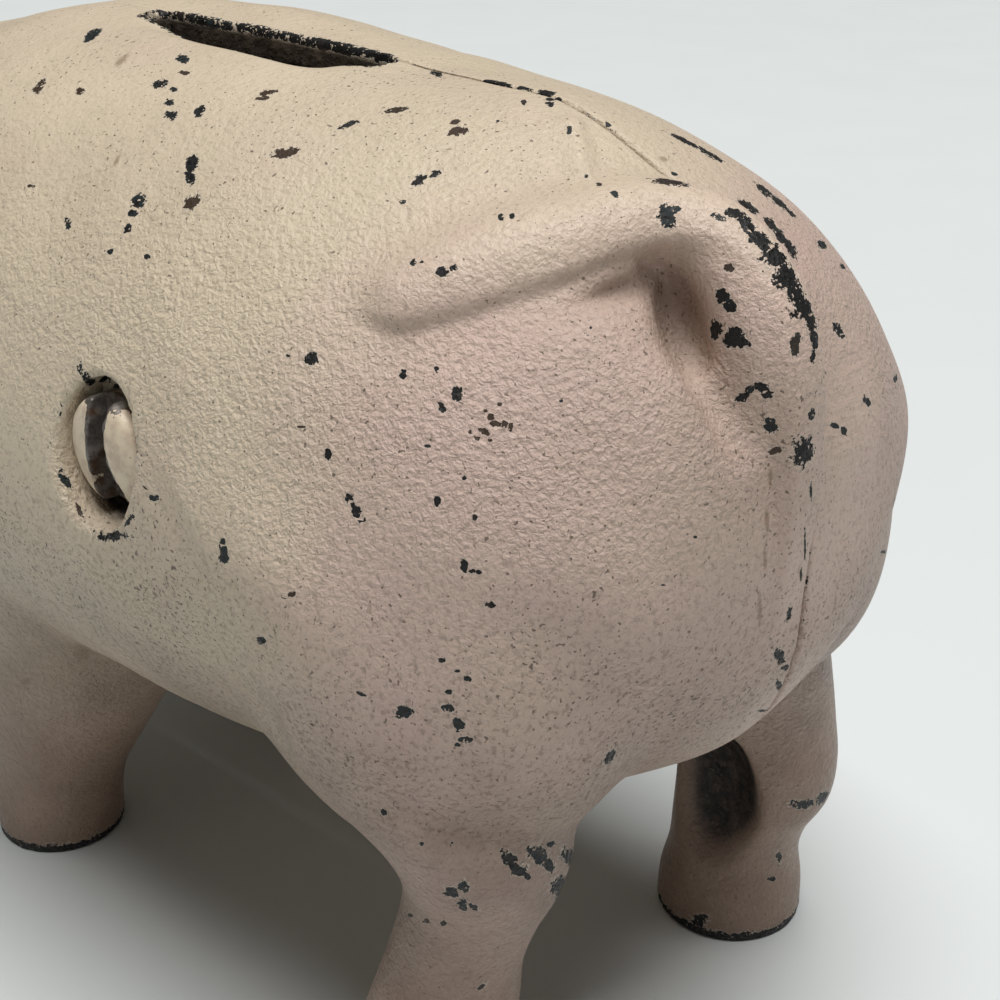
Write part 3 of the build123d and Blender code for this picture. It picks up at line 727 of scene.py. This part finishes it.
RUMP_MARKS = (
    (413, 262, 4, 4, 0, 0.2), (422, 262, 2.5, 1.5, 0, 0.2), (442, 272, 7, 5, 0, 0), (453, 268, 4, 3, -20, 0),
    (501, 217, 3, 4, 0, 0.2), (512, 216, 3, 3, 0, 0.2), (403, 376, 6, 4, 100, 0), (437, 370, 3, 3, 0, 0),
    (457, 393, 7, 5, 90, 0.1), (442, 408, 5, 4, 70, 0.1), (491, 418, 4, 3, 60, 0.5), (495, 424, 5, 3, 0, 0.5),
    (484, 432, 6, 3, 20, 0.5), (477, 438, 4, 2.5, 0, 0.5), (505, 425, 3, 3, 0, 0.5), (500, 404, 2.5, 2, 0, 0.5),
    (486, 411, 2.5, 2, 0, 0.5), (470, 432, 2, 2, 0, 0.5), (511, 428, 2, 4, 0, 0.5), (490, 440, 3, 2, 0, 0.5),
    (428, 446, 3, 2.5, 0, 0.3), (437, 502, 5, 3, 100, 0), (475, 518, 3, 2.5, 90, 0), (464, 478, 2, 2, 0, 0.2),
    (465, 566, 7, 4, 70, 0), (472, 571, 4, 2, 0, 0), (479, 572, 3, 2, 0, 0), (490, 605, 5, 3.5, 0, 0),
    (561, 401, 2, 1.5, 0, 0.3), (591, 328, 1.5, 1.5, 0, 0.3), (663, 585, 3, 1, 0, 0.3), (695, 537, 2, 1.5, 0, 0.3),
    (789, 614, 8, 3, 105, 0.1), (780, 656, 8, 5, 70, 0), (785, 667, 4, 3, 0, 0), (779, 685, 5, 3, 90, 0),
    (763, 711, 5, 1.5, 0, 0.4), (610, 757, 10, 4, -55, 0), (770, 478, 2, 8, 0, 0.8), (767, 520, 2, 14, 0, 0.8),
    (765, 560, 2, 14, 0, 0.8), (760, 610, 2, 16, 0, 0.8), (811, 492, 1.2, 10, 0, 0.3), (805, 545, 1.2, 14, 0, 0.4),
    (801, 575, 1.2, 8, 0, 0.4),
)
BACK_MARKS = (
    (182, 59, 6, 4, 0, 0.2), (185, 73, 5, 2, 0, 0.6), (160, 84, 8, 4, -10, 0.1), (174, 90, 3.5, 2.5, 0, 0.2),
    (169, 102, 4.5, 3.5, 0, 0.2), (170, 115, 6, 4, 0, 0.1), (199, 112, 7, 4, -60, 0.1), (92, 35, 10, 4, -40, 0.3),
    (80, 91, 4, 3.5, 0, 0.5), (39, 87, 8, 4, -50, 0.6), (122, 60, 8, 3, -40, 0.8), (267, 93, 10, 2.5, -12, 0.5),
    (262, 98, 7, 2, -5, 0.5), (215, 27, 9, 3, -20, 0.25), (192, 164, 8, 6, -70, 0), (190, 176, 8, 5, 80, 0.1),
    (191, 202, 9, 6, -30, 0.55), (137, 203, 10, 6, -60, 0.2), (133, 213, 5, 4, 0, 0.2), (128, 228, 5, 3, -60, 0.3),
    (110, 252, 4, 3, 0, 0.3), (147, 257, 3.5, 2.5, 0, 0.2), (68, 224, 4, 6, 0, 0.2), (283, 153, 14, 5, -10, 0.55),
    (348, 125, 12, 2.5, -20, 0.35), (396, 110, 12, 2.5, -8, 0.45), (455, 122, 5, 2.5, -20, 0.5),
    (458, 131, 10, 4, -5, 0.5), (498, 121, 2, 1, 0, 0.3), (418, 181, 9, 4.5, -40, 0), (435, 174, 6, 3.5, -20, 0),
    (403, 202, 4, 2, -20, 0.3), (437, 73, 6, 3, 15, 0.1), (451, 75, 4, 2, 0, 0.1), (496, 83, 15, 3, 8, 0),
    (524, 88, 7, 2, 10, 0.1), (545, 93, 10, 4, -8, 0), (558, 100, 4, 2.5, 30, 0.1), (550, 104, 4, 3, 0, 0.3),
    (524, 102, 3, 2.5, 0, 0.4), (569, 130, 3, 4.5, 0, 0.3), (586, 176, 2, 2.5, 0, 0.3), (608, 124, 3, 1.5, 30, 0.2),
    (675, 174, 4, 2, 20, 0.3), (599, 184, 3, 1.5, 0, 0.4), (117, 160, 7, 2, -60, 0.8), (30, 186, 4, 2, 0, 0.6),
    (311, 358, 7, 6, 0, 0), (288, 356, 2.5, 2, 0, 0.3), (328, 455, 5, 3, 80, 0), (302, 427, 4, 1, 0, 0.5),
    (349, 500, 6, 4, 80, 0), (355, 510, 8, 5, 60, 0), (361, 519, 5, 4, 0, 0), (427, 446, 3, 2, 0, 0.2),
    (222, 544, 7, 3, 100, 0.25), (223, 555, 9, 5, 90, 0.2), (261, 640, 5, 3.5, 40, 0), (153, 498, 5, 3, 0, 0.3),
    (146, 489, 4, 1, 50, 0.5), (36, 501, 4, 3, 0, 0.7), (26, 681, 4, 4, 0, 0.8), (82, 650, 9, 7, 40, 0.85),
    (292, 594, 4, 3, 0, 0.6), (284, 597, 3, 2, 0, 0.6),
)
LEG_MARKS = (
    (403, 713, 10, 6, -10, 0.2), (361, 694, 6, 2, 25, 0.1), (442, 660, 4, 3, 0, 0), (457, 671, 3, 2, 0, 0.1),
    (467, 679, 4, 3.5, 0, 0.1), (449, 692, 4, 3, 0, 0.1), (447, 708, 7, 4, 10, 0.2), (458, 725, 7, 5, 20, 0.2),
    (466, 740, 8, 3, 0, 0.2), (458, 745, 3, 2, 0, 0.2), (384, 812, 4, 2.5, 50, 0), (452, 893, 9, 5, 20, 0.25),
    (464, 887, 6, 5, 60, 0.2), (462, 905, 8, 5, 70, 0.15), (473, 907, 8, 3, 25, 0.2), (509, 859, 9, 6, 50, 0),
    (519, 870, 9, 7, 30, 0.1), (527, 876, 5, 3, 50, 0), (531, 851, 6, 4, 50, 0.1), (540, 856, 10, 8, 45, 0.25),
    (549, 866, 8, 5, 50, 0.1), (551, 844, 4, 3, -40, 0.1), (570, 857, 9, 5, 90, 0), (561, 887, 13, 5, -60, 0),
    (481, 987, 6, 3, -35, 0.4), (444, 923, 3.5, 2.5, 0, 0.4), (422, 844, 2, 1.5, 0, 0.3),
    (452, 843, 2, 1.5, 0, 0.3), (410, 915, 3, 2, 0, 0.6), (426, 921, 4, 2.5, 0, 0.6),
)
SCREW_MARKS = (
    (90, 381, 6, 5, 20, 0.1), (103, 379, 7, 3, -10, 0.1), (114, 394, 9, 3.5, 110, 0.2), (65, 480, 11, 4, 60, 0.2),
    (79, 510, 8, 2.5, 60, 0.5), (114, 536, 15, 4, -10, 0), (128, 522, 7, 3, 120, 0),
)


# ---------------------------------------------------------------- materials

class Value:
    """Number or colour in a node tree, whose sums and products are worked out by nodes."""

    def __init__(self, nodes, socket):
        self.nodes, self.socket = nodes, socket

    def __add__(self, other):
        return self.nodes.calc("ADD", self, other)

    def __sub__(self, other):
        return self.nodes.calc("SUBTRACT", self, other)

    def __rsub__(self, other):
        return self.nodes.calc("SUBTRACT", other, self)

    def __mul__(self, other):
        return self.nodes.calc("MULTIPLY", self, other)

    def or_more(self, other):
        """The higher of two numbers."""
        return self.nodes.calc("MAXIMUM", self, other)

    def held(self):
        """The same number, held between 0 and 1."""
        self.socket.node.use_clamp = True
        return self


class Nodes:
    """Maker of nodes in the tree of a material or a world."""

    def __init__(self, owner):
        owner.use_nodes = True
        self.tree = owner.node_tree

    def put(self, socket, value):
        """Link a socket to a value, or set its plain number or colour."""
        if isinstance(value, Value):
            self.tree.links.new(value.socket, socket)
        elif socket.type == "RGBA" and len(value) == 3:
            socket.default_value = (*value, 1.0)
        else:
            socket.default_value = value

    def fill(self, name, **values):
        """Set or link inputs of a node that the tree already has."""
        for key, value in values.items():
            self.put(self.tree.nodes[name].inputs[key.replace("_", " ")], value)

    def make(self, kind, output=0, inputs=(), **settings):
        """One output of a new node with its settings and inputs."""
        made = self.tree.nodes.new(kind)
        for key, value in settings.items():
            setattr(made, key, value)
        for key, value in dict(inputs).items():
            self.put(made.inputs[key], value)
        return Value(self, made.outputs[output])

    def calc(self, operation, a, b):
        """Number worked out from two others."""
        return self.make("ShaderNodeMath", inputs={0: a, 1: b}, operation=operation)

    def blend(self, part, a, b):
        """Colour between a and b."""
        return self.make("ShaderNodeMix", 2, {0: part, 6: a, 7: b}, data_type="RGBA")

    def step(self, value, low, high, start=0.0, end=1.0):
        """Smooth step from start to end as a value goes from low to high."""
        return self.make("ShaderNodeMapRange", 0, {0: value, 1: low, 2: high, 3: start, 4: end},
                         interpolation_type="SMOOTHSTEP")

    def grain(self, per_metre, detail=3.0, roughness=0.55, distortion=0.0, place=None):
        """Noise with features of one over per_metre, about 0.5 and mostly within 0.25 of it."""
        return self.make("ShaderNodeTexNoise", 0, {
            "Vector": place or self.place, "Scale": per_metre, "Detail": detail, "Roughness": roughness,
            "Distortion": distortion})

    def read(self, name, output="Fac"):
        """Attribute of the mesh."""
        return self.make("ShaderNodeAttribute", output, attribute_name=name)

    def bump(self, relief):
        """Normal over a relief in metres."""
        return self.make("ShaderNodeBump", 0, {"Strength": 1.0, "Distance": 1.0, "Height": relief})


def fresh(name):
    """New material and the maker of its nodes, with the object's own coordinates as its place."""
    material = bpy.data.materials.new(name)
    n = Nodes(material)
    n.place = n.make("ShaderNodeTexCoord", "Object")
    return material, n


def chipped_paint(s):
    """Old cream and pink paint on a rough sand casting: grains with dirt and painted shade in their pits, painted
    shade with dirt in the hollows and with grime towards the bottom, chips down to black iron where the marks and
    the wear say so, rust and painted shade with soot in the raw hollows, and file strokes."""
    material, n = fresh("chipped_paint")
    coarse, fine = n.grain(950, 3.0, 0.65), n.grain(2600, 2.0, 0.6)
    peel, lumps, cloud = n.grain(1900, 3.0, 0.6, 0.3), n.grain(620), n.grain(38, 4.0, 0.6)
    jag = (coarse - 0.5) * 2.0 + (fine - 0.5) * 1.5
    # distance inside each kind of loss, above 0 where the paint is gone
    rim = n.make("ShaderNodeVectorMath", "Value", {0: n.read("mark", "Vector")}, operation="LENGTH")
    kind = n.read("mark_kind")
    soft = n.step(kind, 0.65, 0.75)
    marked = jag + 0.98 - rim
    worn = n.read("wear") * 1.5 + jag - 1.12
    stray = (n.grain(105, 2.0, 0.5) - 0.715) * 16.0 + jag * 0.9 - (1.0 - n.read("unseen")) * 9.0
    loss = (marked - soft * 9.0).or_more(worn).or_more(stray) - n.step(n.grain(1900, 2.0), 0.63, 0.68, 0.0, 0.9)
    bare = n.step(loss, -0.05, 0.05)
    lifted = n.step(loss, -0.32, -0.06) * (1.0 - bare)
    stain = n.step(marked, -0.5, 0.6) * soft * 0.6
    reach = s.paint_reach * MM
    raw = n.step(n.read("depth"), reach * 0.7, reach * 1.3) * (1.0 - n.read("painted_seat"))
    # paint, its clouds, and the dirt, specks, film and stains on it, with painted shade in its pits, its hollows
    # and towards the bottom
    pink = (n.read("pink") + (n.grain(70) - 0.5) * 1.1).held()
    # darker pink towards the bottom, on the legs and the belly
    colour = n.blend(n.read("low"), n.blend(pink, s.cream, s.pink), s.leg_pink)
    colour = n.blend(n.step(cloud, 0.42, 0.72, 0.0, 0.3), colour, s.cloud)
    dirt_and_pit_shade = n.read("dirt_and_pit_shade")
    # dirt and painted shade in the pits of the grain, darker where its relief is low
    pits = n.step(peel, 0.48, 0.34) * (dirt_and_pit_shade * 0.75 + 0.25)
    colour = n.blend(pits * s.pit_shade_and_dirt, colour, s.dirt)
    crowd = n.grain(75, 2.0) * 0.22 + dirt_and_pit_shade * 0.05
    specks = n.step(n.grain(2700, 1.0, 0.4) + crowd, 0.83, 0.87)
    colour = n.blend(specks * 0.8, colour, s.speck)
    # painted shade with dirt in the hollows, darker where the skin folds in
    hollow_shade_and_grime = n.read("hollow_shade_and_dirt") * n.step(cloud, 0.2, 0.7, 0.6, 1.0)
    colour = n.blend(hollow_shade_and_grime * s.hollow_shade_and_dirt_share, colour, s.dirt)
    # brown grime with painted shade, darker towards the bottom and on the outer faces
    film = n.read("film") * n.step(n.grain(55, 4.0, 0.65), 0.25, 0.7, 0.55, 1.0)
    colour = n.blend(film * s.grime_and_shade_film_share, colour, s.film)
    colour = n.blend(stain, colour, s.rust)
    colour = n.blend(lifted * 0.45, colour, s.paint_edge)
    # bare iron: black, blue-green bloom or brown, by the mark's kind
    iron = n.blend(n.step(kind, 0.04, 0.22) * n.step(fine, 0.42, 0.62), s.iron, s.bloom)
    iron = n.blend(n.step(kind, 0.3, 0.5) * 0.85, iron, s.rust_dark)
    iron = n.blend(n.step(lumps, 0.58, 0.75, 0.0, 0.35), iron, s.rust_dark)
    colour = n.blend(bare, colour, iron)
    # the raw inside, and painted shade with soot deep in it
    inside = n.blend(n.step(lumps, 0.35, 0.7), s.raw_dark, s.raw_brown)
    inside = n.blend(n.step(fine, 0.4, 0.7, 0.0, 0.5), inside, s.rust_dark)
    colour = n.blend(raw, colour, inside)
    # painted shade with soot, deep inside and in the leg hollows
    colour = n.blend(n.read("deep_shade_and_soot") * n.step(coarse, 0.25, 0.6, 0.8, 1.0), colour, s.deep_shade_and_soot)
    gloss = n.step(peel, 0.3, 0.7, s.paint_roughness + 0.1, s.paint_roughness - 0.06) + hollow_shade_and_grime * 0.2
    gloss = (gloss + bare * n.step(fine, 0.35, 0.65, 0.0, 0.35) + raw * 0.35).held()
    # relief in metres: the casting's grain and lumps, the chips' depth and the file strokes
    relief = peel * (n.read("texture") + 0.12) * s.grain_height + lumps * 0.00022
    relief = relief * (1.0 - bare * 0.35) - n.step(loss, -0.12, 0.1) * s.paint_depth
    x, y, z = (n.make("ShaderNodeSeparateXYZ", axis, {0: n.place}) for axis in range(3))
    strokes = n.make("ShaderNodeCombineXYZ", 0, {0: x * 90.0, 1: y * 90.0, 2: z * 1900.0 + y * 260.0})
    relief = relief + n.grain(1.0, 2.0, place=strokes) * n.read("filed") * 0.00012
    n.fill("Principled BSDF", IOR=1.5, Specular_IOR_Level=0.45, Base_Color=colour, Roughness=gloss,
           Normal=n.bump(relief))
    return material


def steel(name, s, painted):
    """Old steel of the screw and the nut, browned and dull, with worn paint where the brush reached."""
    material, n = fresh(name)
    coarse, fine = n.grain(620, 3.0, 0.6), n.grain(2400, 2.0)
    colour = n.blend(n.step(coarse, 0.38, 0.68), s.steel, s.rust_dark)
    colour = n.blend(n.step(fine, 0.5, 0.75, 0.0, 0.6), colour, s.iron)
    metal, relief = n.step(coarse, 0.6, 0.35), coarse * 0.00008
    if painted:
        jag = (coarse - 0.5) * 1.6 + (fine - 0.5) * 0.7
        cover = n.step(n.read("cover") + jag, 0.46, 0.54)
        colour = n.blend(cover, colour, n.blend(n.step(coarse, 0.4, 0.7), s.cream, s.cloud))
        metal = (metal * (0.75 - cover)).held()
        relief = relief + cover * 0.00006
    else:
        metal = metal * 0.75
    n.fill("Principled BSDF", Specular_IOR_Level=0.5, Base_Color=colour, Metallic=metal,
           Roughness=n.step(fine, 0.3, 0.7, 0.38, 0.62), Normal=n.bump(relief))
    return material


def paper_floor(s):
    """Pale studio floor with a faint cloudiness."""
    material, n = fresh("pale_floor")
    pale = n.blend(n.step(n.grain(6), 0.3, 0.7, 0.0, 0.25), s.floor_colour, [c * 0.97 for c in s.floor_colour])
    n.fill("Principled BSDF", Specular_IOR_Level=0.2, Base_Color=pale,
           Roughness=n.step(n.grain(40), 0.3, 0.7, 0.62, 0.7))
    return material


# ---------------------------------------------------------------- operators

def pixels_off_centre(points, stage):
    """How far from the middle of the photograph each point is seen, the wider way, in pixels."""
    eye, right, up, back = camera_frame(stage)
    ray = points - eye
    reach = -(ray @ back)
    return stage.focal_pixels * np.maximum(np.abs(ray @ right / reach), np.abs(ray @ up / reach))


def coat_fields(points, s, stage, left):
    """What the paint is like at each vertex, by name, from its place on the skin and off it."""
    x, y, z = points.T
    out = np.abs(y)
    skin = lambda x, y, z: pig_form(x, y, z, s, left)
    depth = -skin(x, y, z)
    slope = slope_of(skin, points)
    slope /= np.linalg.norm(slope, axis=1)[:, None] + 1e-9
    # painted shade with dirt in the hollows, where the skin is nearer than it should be a little way and further
    # off the surface
    hollow = np.maximum.reduce([1 - skin(*(points + slope * off).T) / off for off in (1.2, 3.5)])
    on_skin = 1 - ramp(depth, 0.5, 1.2)
    from_screw = from_screw_axis(x, z, s)
    at_recess = (1 - ramp(from_screw, s.recess, s.recess + 1.6)) * ramp(-y, 20, 24) if left else 0 * x
    uneven = 0.775 + 0.225 * np.sin(x * 0.9 + 1.0) * np.sin(x * 0.37)
    wear = np.maximum.reduce([
        0.62 * (1 - ramp(out, 0.15, 0.9)) * uneven,
        0.95 * (1 - ramp(from_slot(x, y, s), 0.1, 1.9)) * ramp(z, 82, 86),
        1.1 * (1 - ramp(z, 0.5, 2.4)),
        0.5 * at_recess,
    ]) * on_skin
    # where the photograph doesn't see: facing away from it, or past its edges
    to_eye = camera_frame(stage)[0] - points
    facing = (slope * to_eye).sum(1) / np.linalg.norm(to_eye, axis=1)
    half = stage.frame_pixels / 2
    unseen = np.maximum(ramp(-facing, -0.12, 0.05), ramp(pixels_off_centre(points, stage), half - EDGE_INSIDE,
                                                         half + EDGE_OUTSIDE))
    # faces filed flat under the tail, and on the right half beside it
    flat = ramp(x, 58, 63) * (1 - ramp(out, 3.4, 4.6)) * ramp(z, 26, 32) * (1 - ramp(z, 58, 66))
    if not left:
        beside = ramp(x, 52, 60) * (1 - ramp(out, 9, 13)) * ramp(z, 52, 60) * (1 - ramp(z, 72, 78))
        flat = np.maximum(flat, beside)
    texture = 1.0 - 0.55 * ramp(z, 72, 88) - 0.25 * (1 - ramp(x, 5, 30)) - 0.3 * (1 - ramp(z, 12, 28))
    scooped = (scoops(x, out, z, s, left) < 0.9) & (z < 32)
    in_recess = (from_screw < s.recess + 0.3) & (y < -28) & left
    return {
        "depth": depth,
        # painted shade with dirt in the hollows
        "hollow_shade_and_dirt": np.clip(hollow, 0, 1) * on_skin,
        "wear": wear,
        "unseen": unseen,
        "pink": 0.9 * ramp(x, 30, 56) * (1 - 0.75 * ramp(z, 80, 90)),
        # share of the darker pink, more towards the bottom
        "low": 0.95 * (1 - ramp(z, 16, 36)),
        "texture": np.clip(texture * (1 - 0.7 * flat), 0.12, 1.0),
        # more dirt and painted shade in the grain's pits, and more specks, low on the barrel
        "dirt_and_pit_shade": np.clip((0.9 * (1 - ramp(z, 48, 72)) + 0.2) * ramp(z, 33, 44), 0.05, 1),
        # brown grime with painted shade, darker towards the bottom and on the outer faces
        "film": (1 - ramp(z, 36, 66)) * (0.6 + 0.4 * ramp(out, 4, 12)),
        # painted shade with soot, deep inside and in the leg hollows
        "deep_shade_and_soot": np.where(scooped, ramp(depth, 0.3, 2.6), ramp(depth, 1.9, 3.2)),
        "filed": flat,
        "painted_seat": scooped | in_recess,
    }


def finish_piece(piece, material, body, node_name):
    """Give a piece its material and tell the frame which body carries it and what it replaces."""
    piece.data.materials.append(material)
    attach(piece, body)
    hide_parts(node_name)


class PIGBANK_OT_half_castings(bpy.types.Operator):
    """Build both painted half castings in place of the plain ones"""
    bl_idname = "pigbank.half_castings"
    bl_label = "Half castings"

    def execute(self, context):
        s, stage = mm(context.scene.pig_body), context.scene.pig_stage
        coat = chipped_paint(context.scene.pig_paint)
        xs, left_ys, zs = graded(*GRID_ALONG), graded(*GRID_ACROSS), graded(*GRID_UP)
        pieces = []
        for name, body, left in (("left_half", "left_casting", True), ("right_half", "right_casting", False)):
            form = lambda x, y, z: half_form(x, y, z, s, left)
            points, quads = polygonise(form, xs, left_ys if left else -left_ys[::-1], zs)
            if len(quads) * 2 > MOST_TRIANGLES:
                raise RuntimeError(f"{name} came out with {len(quads)} faces")
            points = settle(form, points)
            piece = make_piece(name + "_cast", points, quads)
            for key, values in coat_fields(points, s, stage, left).items():
                field_on(piece, key, values)
            finish_piece(piece, coat, body, name)
            pieces.append(piece)
        lay_marks(stage, pieces, TAIL_MARKS + RIGHT_HALF_MARKS + RUMP_MARKS + BACK_MARKS + LEG_MARKS + SCREW_MARKS)
        return {"FINISHED"}


class PIGBANK_OT_screw(bpy.types.Operator):
    """Build the slotted through screw with its domed head and its thread"""
    bl_idname = "pigbank.screw"
    bl_label = "Through screw"

    def execute(self, context):
        s, b = mm(context.scene.pig_screw), mm(context.scene.pig_body)
        seat, end = -(b.half_width - RECESS_DEPTH + SEAT_GAP), SCREW_END
        thread = end - s.thread_length

        def past_driver(dx, dz):
            """How far outside the driver's slot, which one side has worn wider towards the top."""
            return np.abs(dx) - s.driver_width / 2 - 1.5 * ramp(-dz, -1.5, 3.5) * (dx > 0)

        def form(x, y, z):
            """Screw along the pig's width: a domed head less its slot, and a shank whose last part
            carries a helical groove of one pitch a turn."""
            dx, dz = x - b.screw_back, z - b.screw_height
            r = np.hypot(dx, dz)
            above = seat - y
            dome = s.head_rim + s.head_dome * np.sqrt(np.clip(1 - (r / s.head_radius) ** 2, 0, 1))
            top = soft_max(soft_max(r - s.head_radius, above - dome, 0.5), -above, 0.2)
            floor = s.head_rim + s.head_dome - s.driver_depth
            ragged = 0.12 * np.sin(z * 1.7) + 0.07 * np.sin(z * 4.1 + 1)
            top = soft_max(top, -np.maximum(past_driver(dx, dz) + ragged, floor - above), 0.25)
            turn = (y / s.pitch - np.arctan2(dz, dx) / (2 * np.pi)) % 1.0
            groove = s.thread_depth * (1 - np.abs(2 * turn - 1)) * ramp(y, thread, thread + 1.5)
            shank = np.maximum(r - s.shank + groove, r + y - end - s.shank + 0.7)
            return soft_min(top, np.maximum(soft_max(shank, y - end, 0.2), above - 1.0), 0.3)

        xs, zs = (np.arange(middle - 6.7, middle + 6.8, 0.22) for middle in (b.screw_back, b.screw_height))
        ys = np.concatenate([np.arange(seat - 3.9, seat + 0.6, 0.2), np.arange(seat + 0.6, thread - 1, 0.6),
                             np.arange(thread - 1, end + 0.5, 0.18)])
        points, quads = polygonise(form, xs, np.unique(ys.round(4)), zs)
        points = settle(form, points)
        piece = make_piece("screw_slotted", points, quads, 40.0)
        dx, dz = points[:, 0] - b.screw_back, points[:, 2] - b.screw_height
        front = ramp(seat - points[:, 1], 1.2, 2.4)
        ends = 1 - 0.6 * ramp(np.abs(dz + 0.3), 3.4, 5.0)
        field_on(piece, "cover", 0.9 * front * ramp(past_driver(dx, dz), 0.0, 0.45) * ends)
        finish_piece(piece, steel("old_screw_steel", context.scene.pig_paint, True), "screw", "through_screw")
        return {"FINISHED"}


class PIGBANK_OT_nut(bpy.types.Operator):
    """Build the square nut with its chamfered corners and its bore"""
    bl_idname = "pigbank.nut"
    bl_label = "Square nut"

    def execute(self, context):
        s, b = mm(context.scene.pig_screw), mm(context.scene.pig_body)
        inner = b.half_width - NUT_POCKET_DEPTH + SEAT_GAP
        half = s.nut_width / 2

        def form(x, y, z):
            """Square block cut by a cone at its outer corners, less a round bore with a bevelled mouth."""
            dx, dz = x - b.screw_back, z - b.screw_height
            r, past = np.hypot(dx, dz), y - inner - s.nut_thickness
            block = soft_max(np.abs(dx) - half, np.abs(dz) - half, 0.4)
            block = soft_max(block, np.maximum(past, inner - y), 0.3)
            block = soft_max(block, (r + 1.8 * past - half * 1.08) / 2.1, 0.2)
            return soft_max(block, np.maximum(s.shank + 0.05, s.shank + 0.7 + past) - r, 0.15)

        xs, zs = (np.arange(middle - 6.1, middle + 6.2, 0.24) for middle in (b.screw_back, b.screw_height))
        points, quads = polygonise(form, xs, np.arange(inner - 0.6, inner + s.nut_thickness + 0.7, 0.24), zs)
        piece = make_piece("nut_square", settle(form, points), quads, 35.0)
        finish_piece(piece, steel("old_nut_steel", context.scene.pig_paint, False), "nut", "square_nut")
        return {"FINISHED"}


class PIGBANK_OT_stage(bpy.types.Operator):
    """Lay the floor, hang the lights and place the camera"""
    bl_idname = "pigbank.stage"
    bl_label = "Stage"

    def execute(self, context):
        scene, s = context.scene, context.scene.pig_stage
        scene.view_settings.view_transform = "Standard"
        lens = bpy.data.cameras.new("camera")
        lens.sensor_fit = "HORIZONTAL"
        lens.sensor_width = 36.0
        lens.lens = s.focal_pixels * lens.sensor_width / s.frame_pixels
        lens.clip_start = 0.005
        scene.camera = bpy.data.objects.new("camera", lens)
        eye, right, up, back = camera_frame(s)
        axes = Matrix((right, up, back)).transposed().to_4x4()
        scene.camera.matrix_world = Matrix.Translation(Vector(eye / MM)) @ axes
        e = s.floor_size
        sheet = bpy.data.meshes.new("floor")
        sheet.from_pydata([(-e, -e, 0), (e, -e, 0), (e, e, 0), (-e, e, 0)], [], [(0, 1, 2, 3)])
        sheet.materials.append(paper_floor(s))
        floor = bpy.data.objects.new("floor", sheet)
        light = bpy.data.lights.new("overhead", "AREA")
        light.size = s.key_size
        light.energy = s.key_power
        lamp = bpy.data.objects.new("overhead", light)
        place = Vector(s.key_place)
        lamp.matrix_world = Matrix.Translation(place) @ place.to_track_quat("Z", "Y").to_matrix().to_4x4()
        for thing in (scene.camera, floor, lamp):
            scene.collection.objects.link(thing)
        scene.world = bpy.data.worlds.new("soft_room")
        n = Nodes(scene.world)
        seen = n.make("ShaderNodeLightPath", "Is Camera Ray")
        n.fill("Background", Color=s.room_colour, Strength=n.step(seen, 0.0, 1.0, s.room_light, s.room_seen))
        return {"FINISHED"}


GROUPS = {"pig_body": PigBodySizes, "pig_screw": PigScrewSizes, "pig_paint": PigPaintSettings,
          "pig_stage": PigStageSettings}
STEPS = (PIGBANK_OT_half_castings, PIGBANK_OT_screw, PIGBANK_OT_nut, PIGBANK_OT_stage)


class PIGBANK_PT_panel(bpy.types.Panel):
    """Steps that build the pig bank, in order"""
    bl_idname = "PIGBANK_PT_panel"
    bl_label = "Pig bank"
    bl_space_type = "VIEW_3D"
    bl_region_type = "UI"
    bl_category = "Pig bank"

    def draw(self, context):
        for step in STEPS:
            self.layout.operator(step.bl_idname)
        for group in GROUPS:
            box = self.layout.box()
            settings = getattr(context.scene, group)
            for prop in settings.bl_rna.properties:
                if prop.identifier not in {"rna_type", "name"}:
                    box.prop(settings, prop.identifier)


CLASSES = (*GROUPS.values(), *STEPS, PIGBANK_PT_panel)


def register():
    for cls in CLASSES:
        bpy.utils.register_class(cls)
    for name, group in GROUPS.items():
        setattr(bpy.types.Scene, name, PointerProperty(type=group))


def unregister():
    for name in GROUPS:
        delattr(bpy.types.Scene, name)
    for cls in reversed(CLASSES):
        bpy.utils.unregister_class(cls)


def main():
    register()
    bpy.ops.pigbank.half_castings()
    bpy.ops.pigbank.screw()
    bpy.ops.pigbank.nut()
    bpy.ops.pigbank.stage()


if __name__ == "__main__":
    main()
